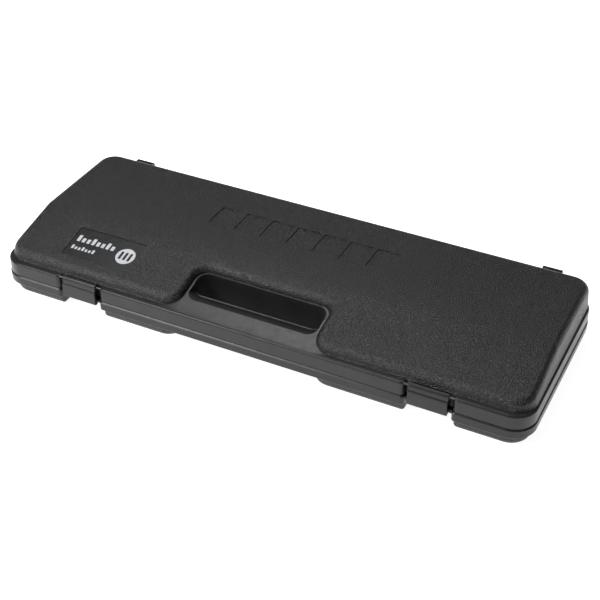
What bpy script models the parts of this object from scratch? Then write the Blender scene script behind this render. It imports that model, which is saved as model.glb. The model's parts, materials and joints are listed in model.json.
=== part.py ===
"""A 32-key melodica packed in its moulded carrying case, with the case closed.

Metres, +Z up. X runs along the case, from its left end to its right end. The handle side faces -Y
and the hinges are at +Y. The origin is under the middle of the whole object, on the surface that it
stands on.
"""

import math

import bmesh
import bpy
from mathutils import Matrix, Vector

# Driving dimensions of the case
CLEAR = 0.0003  # left between solids that touch
CASE_LENGTH = 0.480
CASE_DEPTH = 0.173
HINGE_REACH = 0.007  # how far the hinge knuckles stand out behind the case
LATCH_REACH = 0.001  # how far the latches stand out in front of it
RIM_FRONT = -(CASE_DEPTH + HINGE_REACH + LATCH_REACH) / 2 + LATCH_REACH
RIM_BACK = RIM_FRONT + CASE_DEPTH
HALF_LENGTH = CASE_LENGTH / 2
PARTING = 0.019  # height of the joint between the two halves
BASE_RIM_DEPTH = 0.0085
LID_RIM_HEIGHT = 0.0131
LID_TOP = PARTING + 0.0340
RIM_RADIUS = 0.020
ARC_STEPS = 5
THROUGH = 0.001  # how far a cutter runs past the face that it cuts

# The lid's top is flat at the back and slopes down to the front from a crease
CREASE_Y = RIM_FRONT + 0.0700
TOP_SLOPE = 0.213
LID_WALL = 0.0026
LID_BODY_SIDE = 0.0022  # how far the raised panel stands back from the rim, at the ends and back
LID_BODY_FRONT = 0.0062
LID_BODY_RADIUS = 0.017
LID_DRAFT = 0.0012
LID_EDGE = 0.0060  # rounding of the raised panel's upper edge

# The lower body of the base
BASE_BODY_INSET = 0.0045
BASE_BODY_RADIUS = 0.017
BASE_EDGE = 0.0042
BASE_FLOOR = 0.003
LATCH_WELL_DEPTH = 0.017

# Carrying handle: a bar with a finger slot behind it, through both halves. The lid is recessed around it.
HANDLE_X = -0.0052
SLOT_LENGTH = 0.1185
SLOT_FRONT = RIM_FRONT + 0.0302
SLOT_BACK = RIM_FRONT + 0.0481
SLOT_RADIUS = 0.0088
GRIP_START = RIM_FRONT + LID_BODY_FRONT  # the recess rises from the rim here, nearly parallel to the lid
GRIP_SLOPE = 0.2434
GRIP_ROLL = 0.0120  # how far forward of the slot the grip's top starts to roll down
GRIP_ROLL_DROP = 0.0031
LID_NOTCH_LEDGE = 0.0008
BASE_NOTCH_LEDGE = 0.0025
LOBE_RADIUS = 0.015

# Latches, on the lid, and hinges
LATCH_X = 0.1585
LATCH_WIDTH = 0.0325
LATCH_NOTCH_WIDTH = 0.0386
LATCH_NOTCH_DEPTH = 0.0055
LATCH_NOTCH_DEPTH_BASE = 0.008
LATCH_NOTCH_INNER_RADIUS = 0.0008
LATCH_NOTCH_RADIUS_LID = 0.0044
LATCH_NOTCH_RADIUS_BASE = 0.0030
LATCH_WELL_WIDTH = 0.040
LATCH_WELL_RADIUS = 0.003
LATCH_AXIS_Y = RIM_FRONT + 0.0030
LATCH_AXIS_Z = PARTING + 0.0118
LATCH_PIN_RADIUS = 0.0009
LATCH_EYE_RADIUS = 0.0024
LATCH_EYE_STEPS = 12
HINGE_X = 0.200
HINGE_WIDTH = 0.017
HINGE_AXIS_Y = RIM_BACK + 0.0038
HINGE_AXIS_Z = PARTING
KNUCKLE_RADIUS = 0.0032
HINGE_PIN_RADIUS = 0.0013
MIDDLE_KNUCKLE = 0.008
KNUCKLE_GAP = 0.0004
EAR_TOP = PARTING + 0.0285
EAR_BOTTOM = PARTING + 0.005
EAR_OUT = RIM_BACK + 0.0063
HINGE_ROOT = RIM_BACK - 0.002  # the hinge webs start inside the rims

# Badge on the lid and the moulded pattern behind it
BADGE_X = -0.1545
BADGE_Y = RIM_FRONT + 0.0366
BADGE_LENGTH = 0.067
BADGE_DEPTH = 0.033
BADGE_RECESS = 0.0007
BADGE_THICKNESS = 0.0005
BADGE_RADIUS = 0.0015
RELIEF_BARS = 7
RELIEF_PITCH = 0.025
RELIEF_BAR = 0.0215
RELIEF_X = -0.004
RELIEF_Y = RIM_FRONT + 0.1171
RELIEF_DEPTH = 0.028
RELIEF_CUT = 0.0008

# Space for the instrument and for its accessories
WELL_HALF_LENGTH = 0.216
WELL_FRONT = RIM_FRONT + 0.0654
WELL_BACK = RIM_FRONT + 0.1660
WELL_RADIUS = 0.007
LID_CEILING = LID_TOP - LID_WALL - 0.0004
TRAY_FRONT = RIM_FRONT + 0.0215
TRAY_BACK = RIM_FRONT + 0.0585
TRAY_END = 0.229
TRAY_LEFT_INNER = -0.0705
TRAY_RIGHT_INNER = 0.066
LID_TRAY_FRONT = RIM_FRONT + 0.0115
TRAYS = ((-TRAY_END, TRAY_LEFT_INNER), (TRAY_RIGHT_INNER, TRAY_END))
POCKET_INNER = 0.2220
POCKET_OUTER_LID = 0.233
POCKET_OUTER_BASE = 0.2305
POCKET_FRONT = RIM_FRONT + 0.063
POCKET_BACK = RIM_BACK - 0.014
POCKET_RADIUS = 0.004
TRAY_RADIUS = 0.006
SOCKET_RECESS = 0.020  # width of the recess in the well's end wall, in front of the mouthpiece socket
SOCKET_RECESS_END = 0.2199

# Instrument
BODY_HALF_LENGTH = 0.213
BODY_FRONT = RIM_FRONT + 0.0670
BODY_BACK = RIM_FRONT + 0.1640
BODY_BOTTOM = BASE_FLOOR + CLEAR
BODY_SPLIT = 0.0240
BODY_WALL = 0.0022
BODY_RADIUS = 0.006
CHEEK = 0.0078
HOOD_TOP = 0.0415
HOOD_FRONT = BODY_FRONT + 0.0690
WHITE_TOP = 0.0350
WHITE_BOTTOM = 0.0260
BLACK_TOP = 0.0398
KEY_FRONT = BODY_FRONT + 0.0066
KEY_BACK = HOOD_FRONT - 0.0006
KEY_PITCH = 0.02135
KEY_GAP = 0.0007
BLACK_WIDTH = 0.0108
BLACK_SHIFT = 0.0018
BLACK_FRONT = KEY_FRONT + 0.0225
LEVER_WIDTH = 0.0068
LEVER_BACK = BODY_BACK - 0.0045
ROD_Y = HOOD_FRONT + 0.0095
ROD_Z = 0.0298
ROD_RADIUS = 0.0014
ROD_CLEAR = 0.0018
ROD_SLOT_STEPS = 6
PALLET_TOP = 0.0225
PALLET_THICKNESS = 0.0020
CHEST_FRONT = BODY_FRONT + 0.0480
CHEST_BACK = BODY_BACK - 0.0026
CHEST_HALF_LENGTH = 0.1975
CHEST_BOTTOM = BODY_BOTTOM + BODY_WALL + CLEAR
CHEST_WALL = 0.0016
AIRWAY_Y = (CHEST_FRONT + CHEST_BACK) / 2
AIRWAY_Z = 0.0125

# Mouthpiece socket, a tube on a square plate that drops into the end wall, and the drain button
SOCKET_RADIUS = 0.0066
SOCKET_BORE = 0.0046
SOCKET_PLATE = 0.0210
SOCKET_STOP = 0.0250  # width of the stop behind the wall
SOCKET_STOP_THICKNESS = 0.0014
SOCKET_FLANGE_RADIUS = 0.0086
FLANGE_REACH = 0.0012
BUTTON_RADIUS = 0.0038
BUTTON_CLEAR = 0.0004
BUTTON_LENGTH = 0.0045
BUTTON_STEM_RADIUS = 0.0012
DRAIN_RADIUS = 0.0016
SPRING_TURNS = 4
SPRING_POINTS_PER_TURN = 10
SPRING_RADIUS = 0.0024
SPRING_WIRE = 0.0003

# Reeds, their plate, and the springs and felt of the keys
REED_THICKNESS = 0.0009
REED_BOTTOM = PALLET_TOP - PALLET_THICKNESS - CLEAR - 0.0035
REED_SLIT = 0.0004
REED_HALF_WIDTH = 0.0016
REED_LONGEST = 0.036
REED_SHORTEST = 0.016
REED_ROOT = CHEST_BACK - 0.0065
PAD_FRONT = ROD_Y + 0.0055
COMB_SHEET = 0.0004
COMB_FINGER = 0.0018
COMB_BACK = BODY_BACK - 0.0062
COMB_CLEAR = 0.0011
ROD_HALF_LENGTH = BODY_HALF_LENGTH - CHEEK + 0.004
FELT_HALF_LENGTH = 0.2045
FELT_BOTTOM = 0.0185
FELT_TOP = 0.0210
KEY_WALL = 0.0014
BLACK_TAPER = 0.0009

# Hand strap under the housing, and the mouthpiece in its tray
STRAP_FRONT = BODY_FRONT + 0.008
STRAP_BACK = BODY_FRONT + 0.038
STRAP_HALF_LENGTH = 0.0625
STRAP_TOP = 0.0068
MOUTHPIECE_LENGTH = 0.072
MOUTHPIECE_X = 0.100
MOUTHPIECE_RADIUS = 0.0085
MOUTHPIECE_BORE = 0.0030

# Screws up through the housing's corners
SCREW_X = BODY_HALF_LENGTH - 0.0053
SCREW_FRONT = BODY_FRONT + 0.0055
SCREW_BACK = BODY_BACK - 0.0080
SCREW_RADIUS = 0.0013
SCREW_HEAD_RADIUS = 0.0025
SCREW_TIP = 0.0320
SCREW_POST_RADIUS = 0.0034
SCREW_SINK = 0.0019
SCREW_SLOT = 0.0006
SCREWS = tuple(
    (f"{row}_{end}", side * SCREW_X, y)
    for end, side in (("left", -1), ("right", 1))
    for row, y in (("front", SCREW_FRONT), ("back", SCREW_BACK))
)

# Key pattern of the keyboard, F3 to C6: each white key, and whether a black key follows it
OCTAVE = (("C", True), ("D", True), ("E", False), ("F", True), ("G", True), ("A", True), ("B", False))
FIRST_WHITE = 3
FIRST_OCTAVE = 3
WHITE_COUNT = 19
BLACK_OFFSET = {"C": -BLACK_SHIFT, "D": BLACK_SHIFT, "F": -BLACK_SHIFT, "G": 0.0, "A": BLACK_SHIFT}

for leftover in list(bpy.data.objects):
    bpy.data.objects.remove(leftover)


def new_collection(name):
    collection = bpy.data.collections.new(name)
    bpy.context.scene.collection.children.link(collection)
    return collection


PARTS = new_collection("melodica_in_case")
CUTTERS = new_collection("cutters")
CUTTERS.hide_render = True


def material(name, colour, roughness, metallic=0.0):
    made = bpy.data.materials.new(name)
    made.use_nodes = True
    shader = made.node_tree.nodes["Principled BSDF"]
    shader.inputs["Base Color"].default_value = (*colour, 1.0)
    shader.inputs["Roughness"].default_value = roughness
    shader.inputs["Metallic"].default_value = metallic
    return made


GRAINED_BLACK = material("grained_black", (0.030, 0.030, 0.030), 0.62)
SMOOTH_BLACK = material("smooth_black", (0.040, 0.040, 0.041), 0.45)
BADGE_FOIL = material("badge_foil", (0.035, 0.035, 0.036), 0.4)
HOUSING_BLACK = material("housing_black", (0.015, 0.015, 0.017), 0.25)
IVORY = material("ivory_key", (0.85, 0.84, 0.80), 0.25)
EBONY = material("ebony_key", (0.012, 0.012, 0.012), 0.3)
STEEL = material("pin_steel", (0.60, 0.60, 0.62), 0.3, 1.0)
BRASS = material("reed_brass", (0.72, 0.55, 0.25), 0.35, 1.0)
CHEST_GREY = material("chest_grey", (0.35, 0.36, 0.37), 0.5)
FELT = material("stop_felt", (0.25, 0.03, 0.04), 0.95)
STRAP = material("strap_vinyl", (0.03, 0.03, 0.03), 0.7)
CREAM = material("mouthpiece_cream", (0.80, 0.79, 0.74), 0.3)


def finished(name, mesh, skin, collection=PARTS):
    """An object of this mesh. Those in CUTTERS are only tools."""
    obj = bpy.data.objects.new(name, mesh)
    collection.objects.link(obj)
    if collection is CUTTERS:
        obj.hide_render = True
        obj.display_type = "WIRE"
    if skin is not None:
        mesh.materials.append(skin)
    return obj


def mesh_from(bm, name):
    bmesh.ops.recalc_face_normals(bm, faces=bm.faces)
    mesh = bpy.data.meshes.new(name)
    bm.to_mesh(mesh)
    bm.free()
    mesh.shade_smooth()
    mesh.set_sharp_from_angle(angle=math.radians(35))
    return mesh


def rounded_outline(corners, inset=0.0, steps=ARC_STEPS):
    """Points of an anticlockwise outline with corners (x, y, radius), moved inwards by inset."""
    points = []
    for index, (x, y, radius) in enumerate(corners):
        here = Vector((x, y))
        before = (here - Vector(corners[index - 1][:2])).normalized()
        after = (Vector(corners[(index + 1) % len(corners)][:2]) - here).normalized()
        turn = before.x * after.y - before.y * after.x
        inward = Vector((-before.y, before.x))
        if abs(turn) < 1e-6:
            points.append(here + inward * inset)
            continue
        halfway = (inward + Vector((-after.y, after.x))).normalized()
        across = halfway.dot(inward)
        corner = here + halfway * (inset / across)
        if radius == 0.0:
            points.append(corner)
            continue
        side = 1.0 if turn > 0 else -1.0
        reach = max(radius - side * inset, 0.0003)
        centre = corner + halfway * (side * reach / across)
        angle = math.atan2(turn, before.dot(after))
        start = inward * (-side * reach)
        for step in range(steps + 1):
            bend = angle * step / steps
            cosine, sine = math.cos(bend), math.sin(bend)
            spoke = Vector((start.x * cosine - start.y * sine, start.x * sine + start.y * cosine))
            points.append(centre + spoke)
    return points


def box_corners(x0, x1, y0, y1, radius):
    return [(x0, y0, radius), (x1, y0, radius), (x1, y1, radius), (x0, y1, radius)]


def lofted(name, rings, skin=None, collection=CUTTERS, split=None):
    """A closed solid through rings of points, lowest first. split is a y where the top is creased."""
    bm = bmesh.new()
    rows = [[bm.verts.new(point) for point in ring] for ring in rings]
    count = len(rows[0])
    for lower, upper in zip(rows, rows[1:]):
        for i in range(count):
            j = (i + 1) % count
            bm.faces.new((lower[i], lower[j], upper[j], upper[i]))
    bm.faces.new(rows[0][::-1])
    top = rows[-1]
    if split is None:
        bm.faces.new(top)
    else:
        right, left = [i for i in range(count) if abs(top[i].co.y - split) < 1e-6]
        bm.faces.new(top[right:left + 1])
        bm.faces.new(top[left:] + top[:right + 1])
    return finished(name, mesh_from(bm, name), skin, collection)


def stacked(name, corners, levels, skin=None, collection=CUTTERS):
    """A solid of one outline, at levels (inset, z) from the lowest up."""
    rings = [[(p.x, p.y, z) for p in rounded_outline(corners, inset)] for inset, z in levels]
    return lofted(name, rings, skin, collection)


def block(name, low, high, skin=None, collection=CUTTERS):
    bm = bmesh.new()
    bmesh.ops.create_cube(bm, size=1.0)
    size = Vector(high) - Vector(low)
    middle = (Vector(high) + Vector(low)) / 2
    bmesh.ops.scale(bm, vec=size, verts=bm.verts)
    bmesh.ops.translate(bm, vec=middle, verts=bm.verts)
    return finished(name, mesh_from(bm, name), skin, collection)


def blocks(name, boxes):
    """One cutter of several separate boxes (low corner, high corner)."""
    bm = bmesh.new()
    for low, high in boxes:
        made = bmesh.ops.create_cube(bm, size=1.0)["verts"]
        bmesh.ops.scale(bm, vec=Vector(high) - Vector(low), verts=made)
        bmesh.ops.translate(bm, vec=(Vector(high) + Vector(low)) / 2, verts=made)
    return finished(name, mesh_from(bm, name), None, CUTTERS)


def rod_along_x(name, x0, x1, y, z, radius, skin=None, collection=CUTTERS, sides=16):
    bm = bmesh.new()
    bmesh.ops.create_cone(bm, cap_ends=True, segments=sides, radius1=radius, radius2=radius, depth=x1 - x0)
    bmesh.ops.rotate(bm, matrix=Matrix.Rotation(math.radians(90), 3, "Y"), verts=bm.verts)
    bmesh.ops.translate(bm, vec=((x0 + x1) / 2, y, z), verts=bm.verts)
    return finished(name, mesh_from(bm, name), skin, collection)


def rod_along_z(name, x, y, z0, z1, radius, skin=None, collection=CUTTERS, sides=14):
    bm = bmesh.new()
    bmesh.ops.create_cone(bm, cap_ends=True, segments=sides, radius1=radius, radius2=radius, depth=z1 - z0)
    bmesh.ops.translate(bm, vec=(x, y, (z0 + z1) / 2), verts=bm.verts)
    return finished(name, mesh_from(bm, name), skin, collection)


def profile_along_x(name, profile, x0, x1, skin=None, collection=CUTTERS):
    """A prism of an outline of (y, z) points between two x."""
    bm = bmesh.new()
    near = bm.faces.new([bm.verts.new((x0, y, z)) for y, z in profile])
    grown = bmesh.ops.extrude_face_region(bm, geom=[near])["geom"]
    far = [item for item in grown if isinstance(item, bmesh.types.BMVert)]
    bmesh.ops.translate(bm, vec=(x1 - x0, 0, 0), verts=far)
    return finished(name, mesh_from(bm, name), skin, collection)


def combine(target, tool, operation="DIFFERENCE"):
    modifier = target.modifiers.new(tool.name, "BOOLEAN")
    modifier.operation = operation
    modifier.solver = "EXACT"
    modifier.object = tool
    return target


def top_height(y):
    """Height of the lid's upper surface at this y."""
    return LID_TOP - TOP_SLOPE * max(0.0, CREASE_Y - y)


def slanted(name, corners, bottom, below_top, inset=0.0, skin=None, collection=CUTTERS):
    """A prism from bottom, a height or a depth below the lid's top, up to below_top under that top."""
    outline = rounded_outline(corners, inset)
    floor = [(p.x, p.y, bottom(p.y)) for p in outline]
    roof = [(p.x, p.y, top_height(p.y) - below_top) for p in outline]
    return lofted(name, [floor, roof], skin, collection)


# Case


def rim_corners(notch_depth, mouth_radius):
    """Outline of a half's rim, with a notch for each latch."""
    y0, y1 = RIM_FRONT, RIM_BACK
    corners = [(-HALF_LENGTH, y0, RIM_RADIUS)]
    for centre in (-LATCH_X, LATCH_X):
        left, right = centre - LATCH_NOTCH_WIDTH / 2, centre + LATCH_NOTCH_WIDTH / 2
        inner = y0 + notch_depth
        corners += [(left, y0, mouth_radius), (left, inner, LATCH_NOTCH_INNER_RADIUS)]
        corners += [(right, inner, LATCH_NOTCH_INNER_RADIUS), (right, y0, mouth_radius)]
    corners += [(HALF_LENGTH, y0, RIM_RADIUS), (HALF_LENGTH, y1, RIM_RADIUS)]
    corners.append((-HALF_LENGTH, y1, RIM_RADIUS))
    return corners


def handle_notch(front, ledge):
    """The corners, from left to right, where a body stands back around the handle."""
    left, right = HANDLE_X - SLOT_LENGTH / 2 - ledge, HANDLE_X + SLOT_LENGTH / 2 + ledge
    back, radius = SLOT_BACK + ledge, SLOT_RADIUS + ledge
    return [
        (left, front, LOBE_RADIUS), (left, back, radius),
        (right, back, radius), (right, front, LOBE_RADIUS),
    ]


def lid_body():
    """The raised panel: walls with draft, and an upper edge that is rounded over."""
    front = RIM_FRONT + LID_BODY_FRONT
    side = HALF_LENGTH - LID_BODY_SIDE
    back = RIM_BACK - LID_BODY_SIDE
    radius = LID_BODY_RADIUS
    corners = [(-side, front, radius), *handle_notch(front, LID_NOTCH_LEDGE), (side, front, radius)]
    corners += [(side, CREASE_Y, 0.0), (side, back, radius), (-side, back, radius), (-side, CREASE_Y, 0.0)]
    foot = PARTING + LID_RIM_HEIGHT
    rings = [[(p.x, p.y, foot - 0.003) for p in rounded_outline(corners)]]
    rings.append([(p.x, p.y, foot) for p in rounded_outline(corners)])
    for step in range(ARC_STEPS):
        angle = math.radians(90) * step / (ARC_STEPS - 1)
        ring = []
        for p in rounded_outline(corners, LID_DRAFT + LID_EDGE * (1 - math.cos(angle))):
            top = top_height(p.y)
            drop = min(LID_EDGE, 0.8 * (top - foot))
            ring.append((p.x, p.y, top - drop * (1 - math.sin(angle))))
        rings.append(ring)
    return lofted("lid_body", rings, split=CREASE_Y)


def grip_height(y):
    """Height of the recess around the handle at this y."""
    return PARTING + LID_RIM_HEIGHT + GRIP_SLOPE * max(0.0, y - GRIP_START)


def grip():
    """The recess's floor: a wedge from the rim's top up to the back of the slot."""
    reach = SLOT_LENGTH / 2 + LOBE_RADIUS + LID_BODY_FRONT
    back = SLOT_BACK + LID_EDGE
    low = grip_height(GRIP_START) - 0.003
    profile = [(GRIP_START, low), (back, low)]
    profile += [(y, grip_height(y)) for y in (back, GRIP_START)]
    return profile_along_x("grip", profile, HANDLE_X - reach, HANDLE_X + reach)


def finger_slot(name, low, high, levels):
    """Cutter for the slot, straight from low to high but for levels (roll, z) of its front edge."""
    x0, x1 = HANDLE_X - SLOT_LENGTH / 2, HANDLE_X + SLOT_LENGTH / 2
    last_roll = levels[-1][0] if levels else 0.0
    rings = []
    for roll, z in [(0.0, low), *levels, (last_roll, high)]:
        corners = box_corners(x0, x1, SLOT_FRONT - roll, SLOT_BACK, SLOT_RADIUS)
        rings.append([(p.x, p.y, z) for p in rounded_outline(corners)])
    return lofted(name, rings)


def grip_roll():
    """Levels of the slot's front edge, which curves forward and up to the grip's top."""
    crest = grip_height(SLOT_FRONT - GRIP_ROLL)
    levels = []
    for step in range(ARC_STEPS):
        share = step / (ARC_STEPS - 1)
        levels.append((GRIP_ROLL * share, crest - GRIP_ROLL_DROP * (1 - share) ** 2))
    return levels


def instrument_well_in_lid():
    """Cutter for the lid's well. Its front leans back under the handle's recess."""
    levels = [(PARTING - THROUGH, 0.0, 0.0), (PARTING + 0.013, 0.0012, 0.0004)]
    levels.append((LID_CEILING, 0.0042, 0.0012))
    rings = []
    for z, lean, shrink in levels:
        half = WELL_HALF_LENGTH - shrink
        corners = box_corners(-half, half, WELL_FRONT + lean, WELL_BACK - shrink, WELL_RADIUS)
        rings.append([(p.x, p.y, z) for p in rounded_outline(corners)])
    return lofted("well_in_lid", rings)


def end_pocket(name, side, outer, low, high):
    """Cutter that hollows the thick wall at one end, open towards the parting."""
    x0, x1 = sorted((side * POCKET_INNER, side * outer))
    corners = box_corners(x0, x1, POCKET_FRONT, POCKET_BACK, POCKET_RADIUS)
    return stacked(name, corners, [(0.0, low), (0.0, high)])


def knuckle(name, x0, x1):
    return rod_along_x(name, x0, x1, HINGE_AXIS_Y, HINGE_AXIS_Z, KNUCKLE_RADIUS, sides=20)


def hinge_bore(name, centre):
    reach = HINGE_WIDTH / 2 + THROUGH
    radius = HINGE_PIN_RADIUS + CLEAR
    return rod_along_x(name, centre - reach, centre + reach, HINGE_AXIS_Y, HINGE_AXIS_Z, radius)


def add_lid_hinges(lid):
    """Ears that run up the lid's back wall, each with the middle knuckle below it."""
    root = RIM_BACK - 0.004
    ear = [
        (root, EAR_BOTTOM), (EAR_OUT - 0.0015, EAR_BOTTOM), (EAR_OUT, EAR_BOTTOM + 0.0015),
        (EAR_OUT, EAR_TOP - 0.0022), (EAR_OUT - 0.0015, EAR_TOP - 0.0006), (EAR_OUT - 0.0027, EAR_TOP),
        (root, EAR_TOP),
    ]
    low, high = PARTING + 2 * CLEAR, EAR_BOTTOM + THROUGH
    web = [
        (HINGE_ROOT, low), (HINGE_AXIS_Y, low), (HINGE_AXIS_Y + KNUCKLE_RADIUS, low),
        (HINGE_AXIS_Y + 0.0025, high), (HINGE_ROOT, high),
    ]
    for tag, centre in (("left", -HINGE_X), ("right", HINGE_X)):
        half, middle = HINGE_WIDTH / 2, MIDDLE_KNUCKLE / 2
        combine(lid, profile_along_x("ear_" + tag, ear, centre - half, centre + half), "UNION")
        combine(lid, profile_along_x("lid_web_" + tag, web, centre - middle, centre + middle), "UNION")
        combine(lid, knuckle("lid_knuckle_" + tag, centre - middle, centre + middle), "UNION")
        combine(lid, hinge_bore("lid_bore_" + tag, centre))


def add_base_hinges(base):
    """Two outer knuckles on each side, joined to the base's rim below the parting."""
    low, high = PARTING - 0.0072, PARTING - 2 * CLEAR
    web = [
        (HINGE_ROOT, low), (RIM_BACK + 0.001, low), (HINGE_AXIS_Y + KNUCKLE_RADIUS * 0.9, PARTING - 0.0016),
        (HINGE_AXIS_Y, high), (HINGE_ROOT, high),
    ]
    inner, outer = MIDDLE_KNUCKLE / 2 + KNUCKLE_GAP, HINGE_WIDTH / 2
    for tag, centre in (("left", -HINGE_X), ("right", HINGE_X)):
        for side in (-1, 1):
            x0, x1 = sorted((centre + side * inner, centre + side * outer))
            name = f"{tag}_{'right' if side > 0 else 'left'}"
            combine(base, profile_along_x("base_web_" + name, web, x0, x1), "UNION")
            combine(base, knuckle("base_knuckle_" + name, x0, x1), "UNION")
        combine(base, hinge_bore("base_bore_" + tag, centre))


def make_lid():
    top = PARTING + LID_RIM_HEIGHT
    lid = stacked(
        "case_lid", rim_corners(LATCH_NOTCH_DEPTH, LATCH_NOTCH_RADIUS_LID),
        [(0.0012, PARTING + CLEAR / 2), (0.0006, PARTING + 0.0008), (0.0010, top - 0.0010), (0.0016, top)],
        GRAINED_BLACK, PARTS,
    )
    combine(lid, lid_body(), "UNION")
    combine(lid, grip(), "UNION")
    add_lid_hinges(lid)
    combine(lid, finger_slot("slot_in_lid", PARTING - THROUGH, LID_TOP, grip_roll()))
    combine(lid, instrument_well_in_lid())
    for number, (left, right) in enumerate(TRAYS):
        corners = box_corners(left, right, LID_TRAY_FRONT, TRAY_BACK, TRAY_RADIUS)
        combine(lid, slanted(f"lid_tray_{number}", corners, lambda y: PARTING - THROUGH, LID_WALL))
    for tag, side in (("left", -1), ("right", 1)):
        ceiling = LID_CEILING - 0.003
        combine(lid, end_pocket("lid_pocket_" + tag, side, POCKET_OUTER_LID, PARTING - THROUGH, ceiling))
        reach = LATCH_NOTCH_WIDTH / 2 + 0.0032
        x0, x1 = side * LATCH_X - reach, side * LATCH_X + reach
        radius = LATCH_PIN_RADIUS + CLEAR
        combine(lid, rod_along_x("latch_bore_" + tag, x0, x1, LATCH_AXIS_Y, LATCH_AXIS_Z, radius))
    recess = badge_corners(0.0)
    combine(lid, slanted("badge_recess", recess, lambda y: top_height(y) - BADGE_RECESS, -THROUGH))
    combine(lid, relief_cutter())


def relief_cutter():
    """Seven shallow bars like the fronts of piano keys."""
    boxes = []
    for number in range(RELIEF_BARS):
        x = (number - (RELIEF_BARS - 1) / 2) * RELIEF_PITCH + RELIEF_X
        low = (x - RELIEF_BAR / 2, RELIEF_Y - RELIEF_DEPTH / 2, LID_TOP - RELIEF_CUT)
        boxes.append((low, (x + RELIEF_BAR / 2, RELIEF_Y + RELIEF_DEPTH / 2, LID_TOP + THROUGH)))
    return blocks("relief", boxes)


def badge_corners(inset):
    half_length, half_depth = BADGE_LENGTH / 2 - inset, BADGE_DEPTH / 2 - inset
    return box_corners(
        BADGE_X - half_length, BADGE_X + half_length, BADGE_Y - half_depth, BADGE_Y + half_depth,
        BADGE_RADIUS - inset,
    )


def make_badge():
    under = BADGE_RECESS - CLEAR / 3
    slanted(
        "name_badge", badge_corners(CLEAR), lambda y: top_height(y) - under, under - BADGE_THICKNESS,
        skin=BADGE_FOIL, collection=PARTS,
    )


def base_body():
    """The lower body, which stands back from the rim, around the handle and behind each latch."""
    front = RIM_FRONT + BASE_BODY_INSET
    side, back = HALF_LENGTH - BASE_BODY_INSET, RIM_BACK - BASE_BODY_INSET
    well = RIM_FRONT + LATCH_WELL_DEPTH
    wells = []
    for centre in (-LATCH_X, LATCH_X):
        left, right = centre - LATCH_WELL_WIDTH / 2, centre + LATCH_WELL_WIDTH / 2
        places = ((left, front), (left, well), (right, well), (right, front))
        wells.append([(x, y, LATCH_WELL_RADIUS) for x, y in places])
    notch = handle_notch(front, BASE_NOTCH_LEDGE)
    corners = [(-side, front, BASE_BODY_RADIUS), *wells[0], *notch, *wells[1]]
    corners += [(x, y, BASE_BODY_RADIUS) for x, y in ((side, front), (side, back), (-side, back))]
    levels = []
    for step in range(ARC_STEPS):
        angle = math.radians(90) * step / (ARC_STEPS - 1)
        levels.append((BASE_EDGE * (1 - math.sin(angle)), BASE_EDGE * (1 - math.cos(angle))))
    levels.append((0.0, PARTING - BASE_RIM_DEPTH + 0.003))
    return stacked("base_body", corners, levels)


def add_catch(base, tag, centre):
    """The wedge under the parting that the latch's bead closes over."""
    back, high = RIM_FRONT + 0.0100, PARTING - 2 * CLEAR
    catch = [(RIM_FRONT + 0.0036, PARTING - 0.0030), (back, PARTING - 0.0052)]
    catch += [(back, high), (RIM_FRONT + 0.0042, PARTING - 0.0012)]
    half = LATCH_NOTCH_WIDTH / 2 + 0.002
    combine(base, profile_along_x("catch_" + tag, catch, centre - half, centre + half), "UNION")


def make_base():
    low = PARTING - BASE_RIM_DEPTH
    above = PARTING + THROUGH
    base = stacked(
        "case_base", rim_corners(LATCH_NOTCH_DEPTH_BASE, LATCH_NOTCH_RADIUS_BASE),
        [(0.0016, low), (0.0006, low + 0.0009), (0.0, PARTING - 0.0009), (0.0006, PARTING - CLEAR / 2)],
        SMOOTH_BLACK, PARTS,
    )
    combine(base, base_body(), "UNION")
    add_base_hinges(base)
    for tag, side in (("left", -1), ("right", 1)):
        add_catch(base, tag, side * LATCH_X)
        combine(base, end_pocket("base_pocket_" + tag, side, POCKET_OUTER_BASE, BASE_EDGE, above))
    combine(base, finger_slot("slot_in_base", low - THROUGH, above, []))
    well = box_corners(-WELL_HALF_LENGTH, WELL_HALF_LENGTH, WELL_FRONT, WELL_BACK, WELL_RADIUS)
    combine(base, stacked("well_in_base", well, [(0.0, BASE_FLOOR), (0.0, above)]))
    for number, (left, right) in enumerate(TRAYS):
        corners = box_corners(left, right, TRAY_FRONT, TRAY_BACK, TRAY_RADIUS)
        combine(base, stacked(f"base_tray_{number}", corners, [(0.0, BASE_FLOOR), (0.0, above)]))
    recess_low = (-SOCKET_RECESS_END, AIRWAY_Y - SOCKET_RECESS / 2, BASE_EDGE)
    recess_high = (-WELL_HALF_LENGTH + THROUGH, AIRWAY_Y + SOCKET_RECESS / 2, above)
    combine(base, block("socket_recess", recess_low, recess_high))


def latch_outline():
    """Side view (y, z) of a latch: bead at the foot, flat plate, and the eye that turns on the pin."""
    face, foot = RIM_FRONT - LATCH_REACH, PARTING - 0.0052
    y, z = LATCH_AXIS_Y, LATCH_AXIS_Z
    outline = [(face + 0.0004, foot + 0.0006), (face + 0.0012, foot), (face + 0.0034, foot + 0.0003)]
    outline += [(face + 0.0042, foot + 0.0008), (face + 0.0042, foot + 0.0018)]
    outline += [(face + 0.0030, foot + 0.0034), (face + 0.0026, PARTING + 0.0060), (y - 0.0012, z - 0.0021)]
    for step in range(LATCH_EYE_STEPS + 1):
        angle = math.radians(-100 + 270 * step / LATCH_EYE_STEPS)
        outline.append((y + LATCH_EYE_RADIUS * math.cos(angle), z + LATCH_EYE_RADIUS * math.sin(angle)))
    outline += [(y - LATCH_EYE_RADIUS - 0.0002, z - 0.0008), (face + 0.0014, z - 0.0026)]
    outline += [(face + 0.0006, z - 0.0034), (face + 0.0002, z - 0.0048), (face, foot + 0.0022)]
    return outline[::-1]


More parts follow.
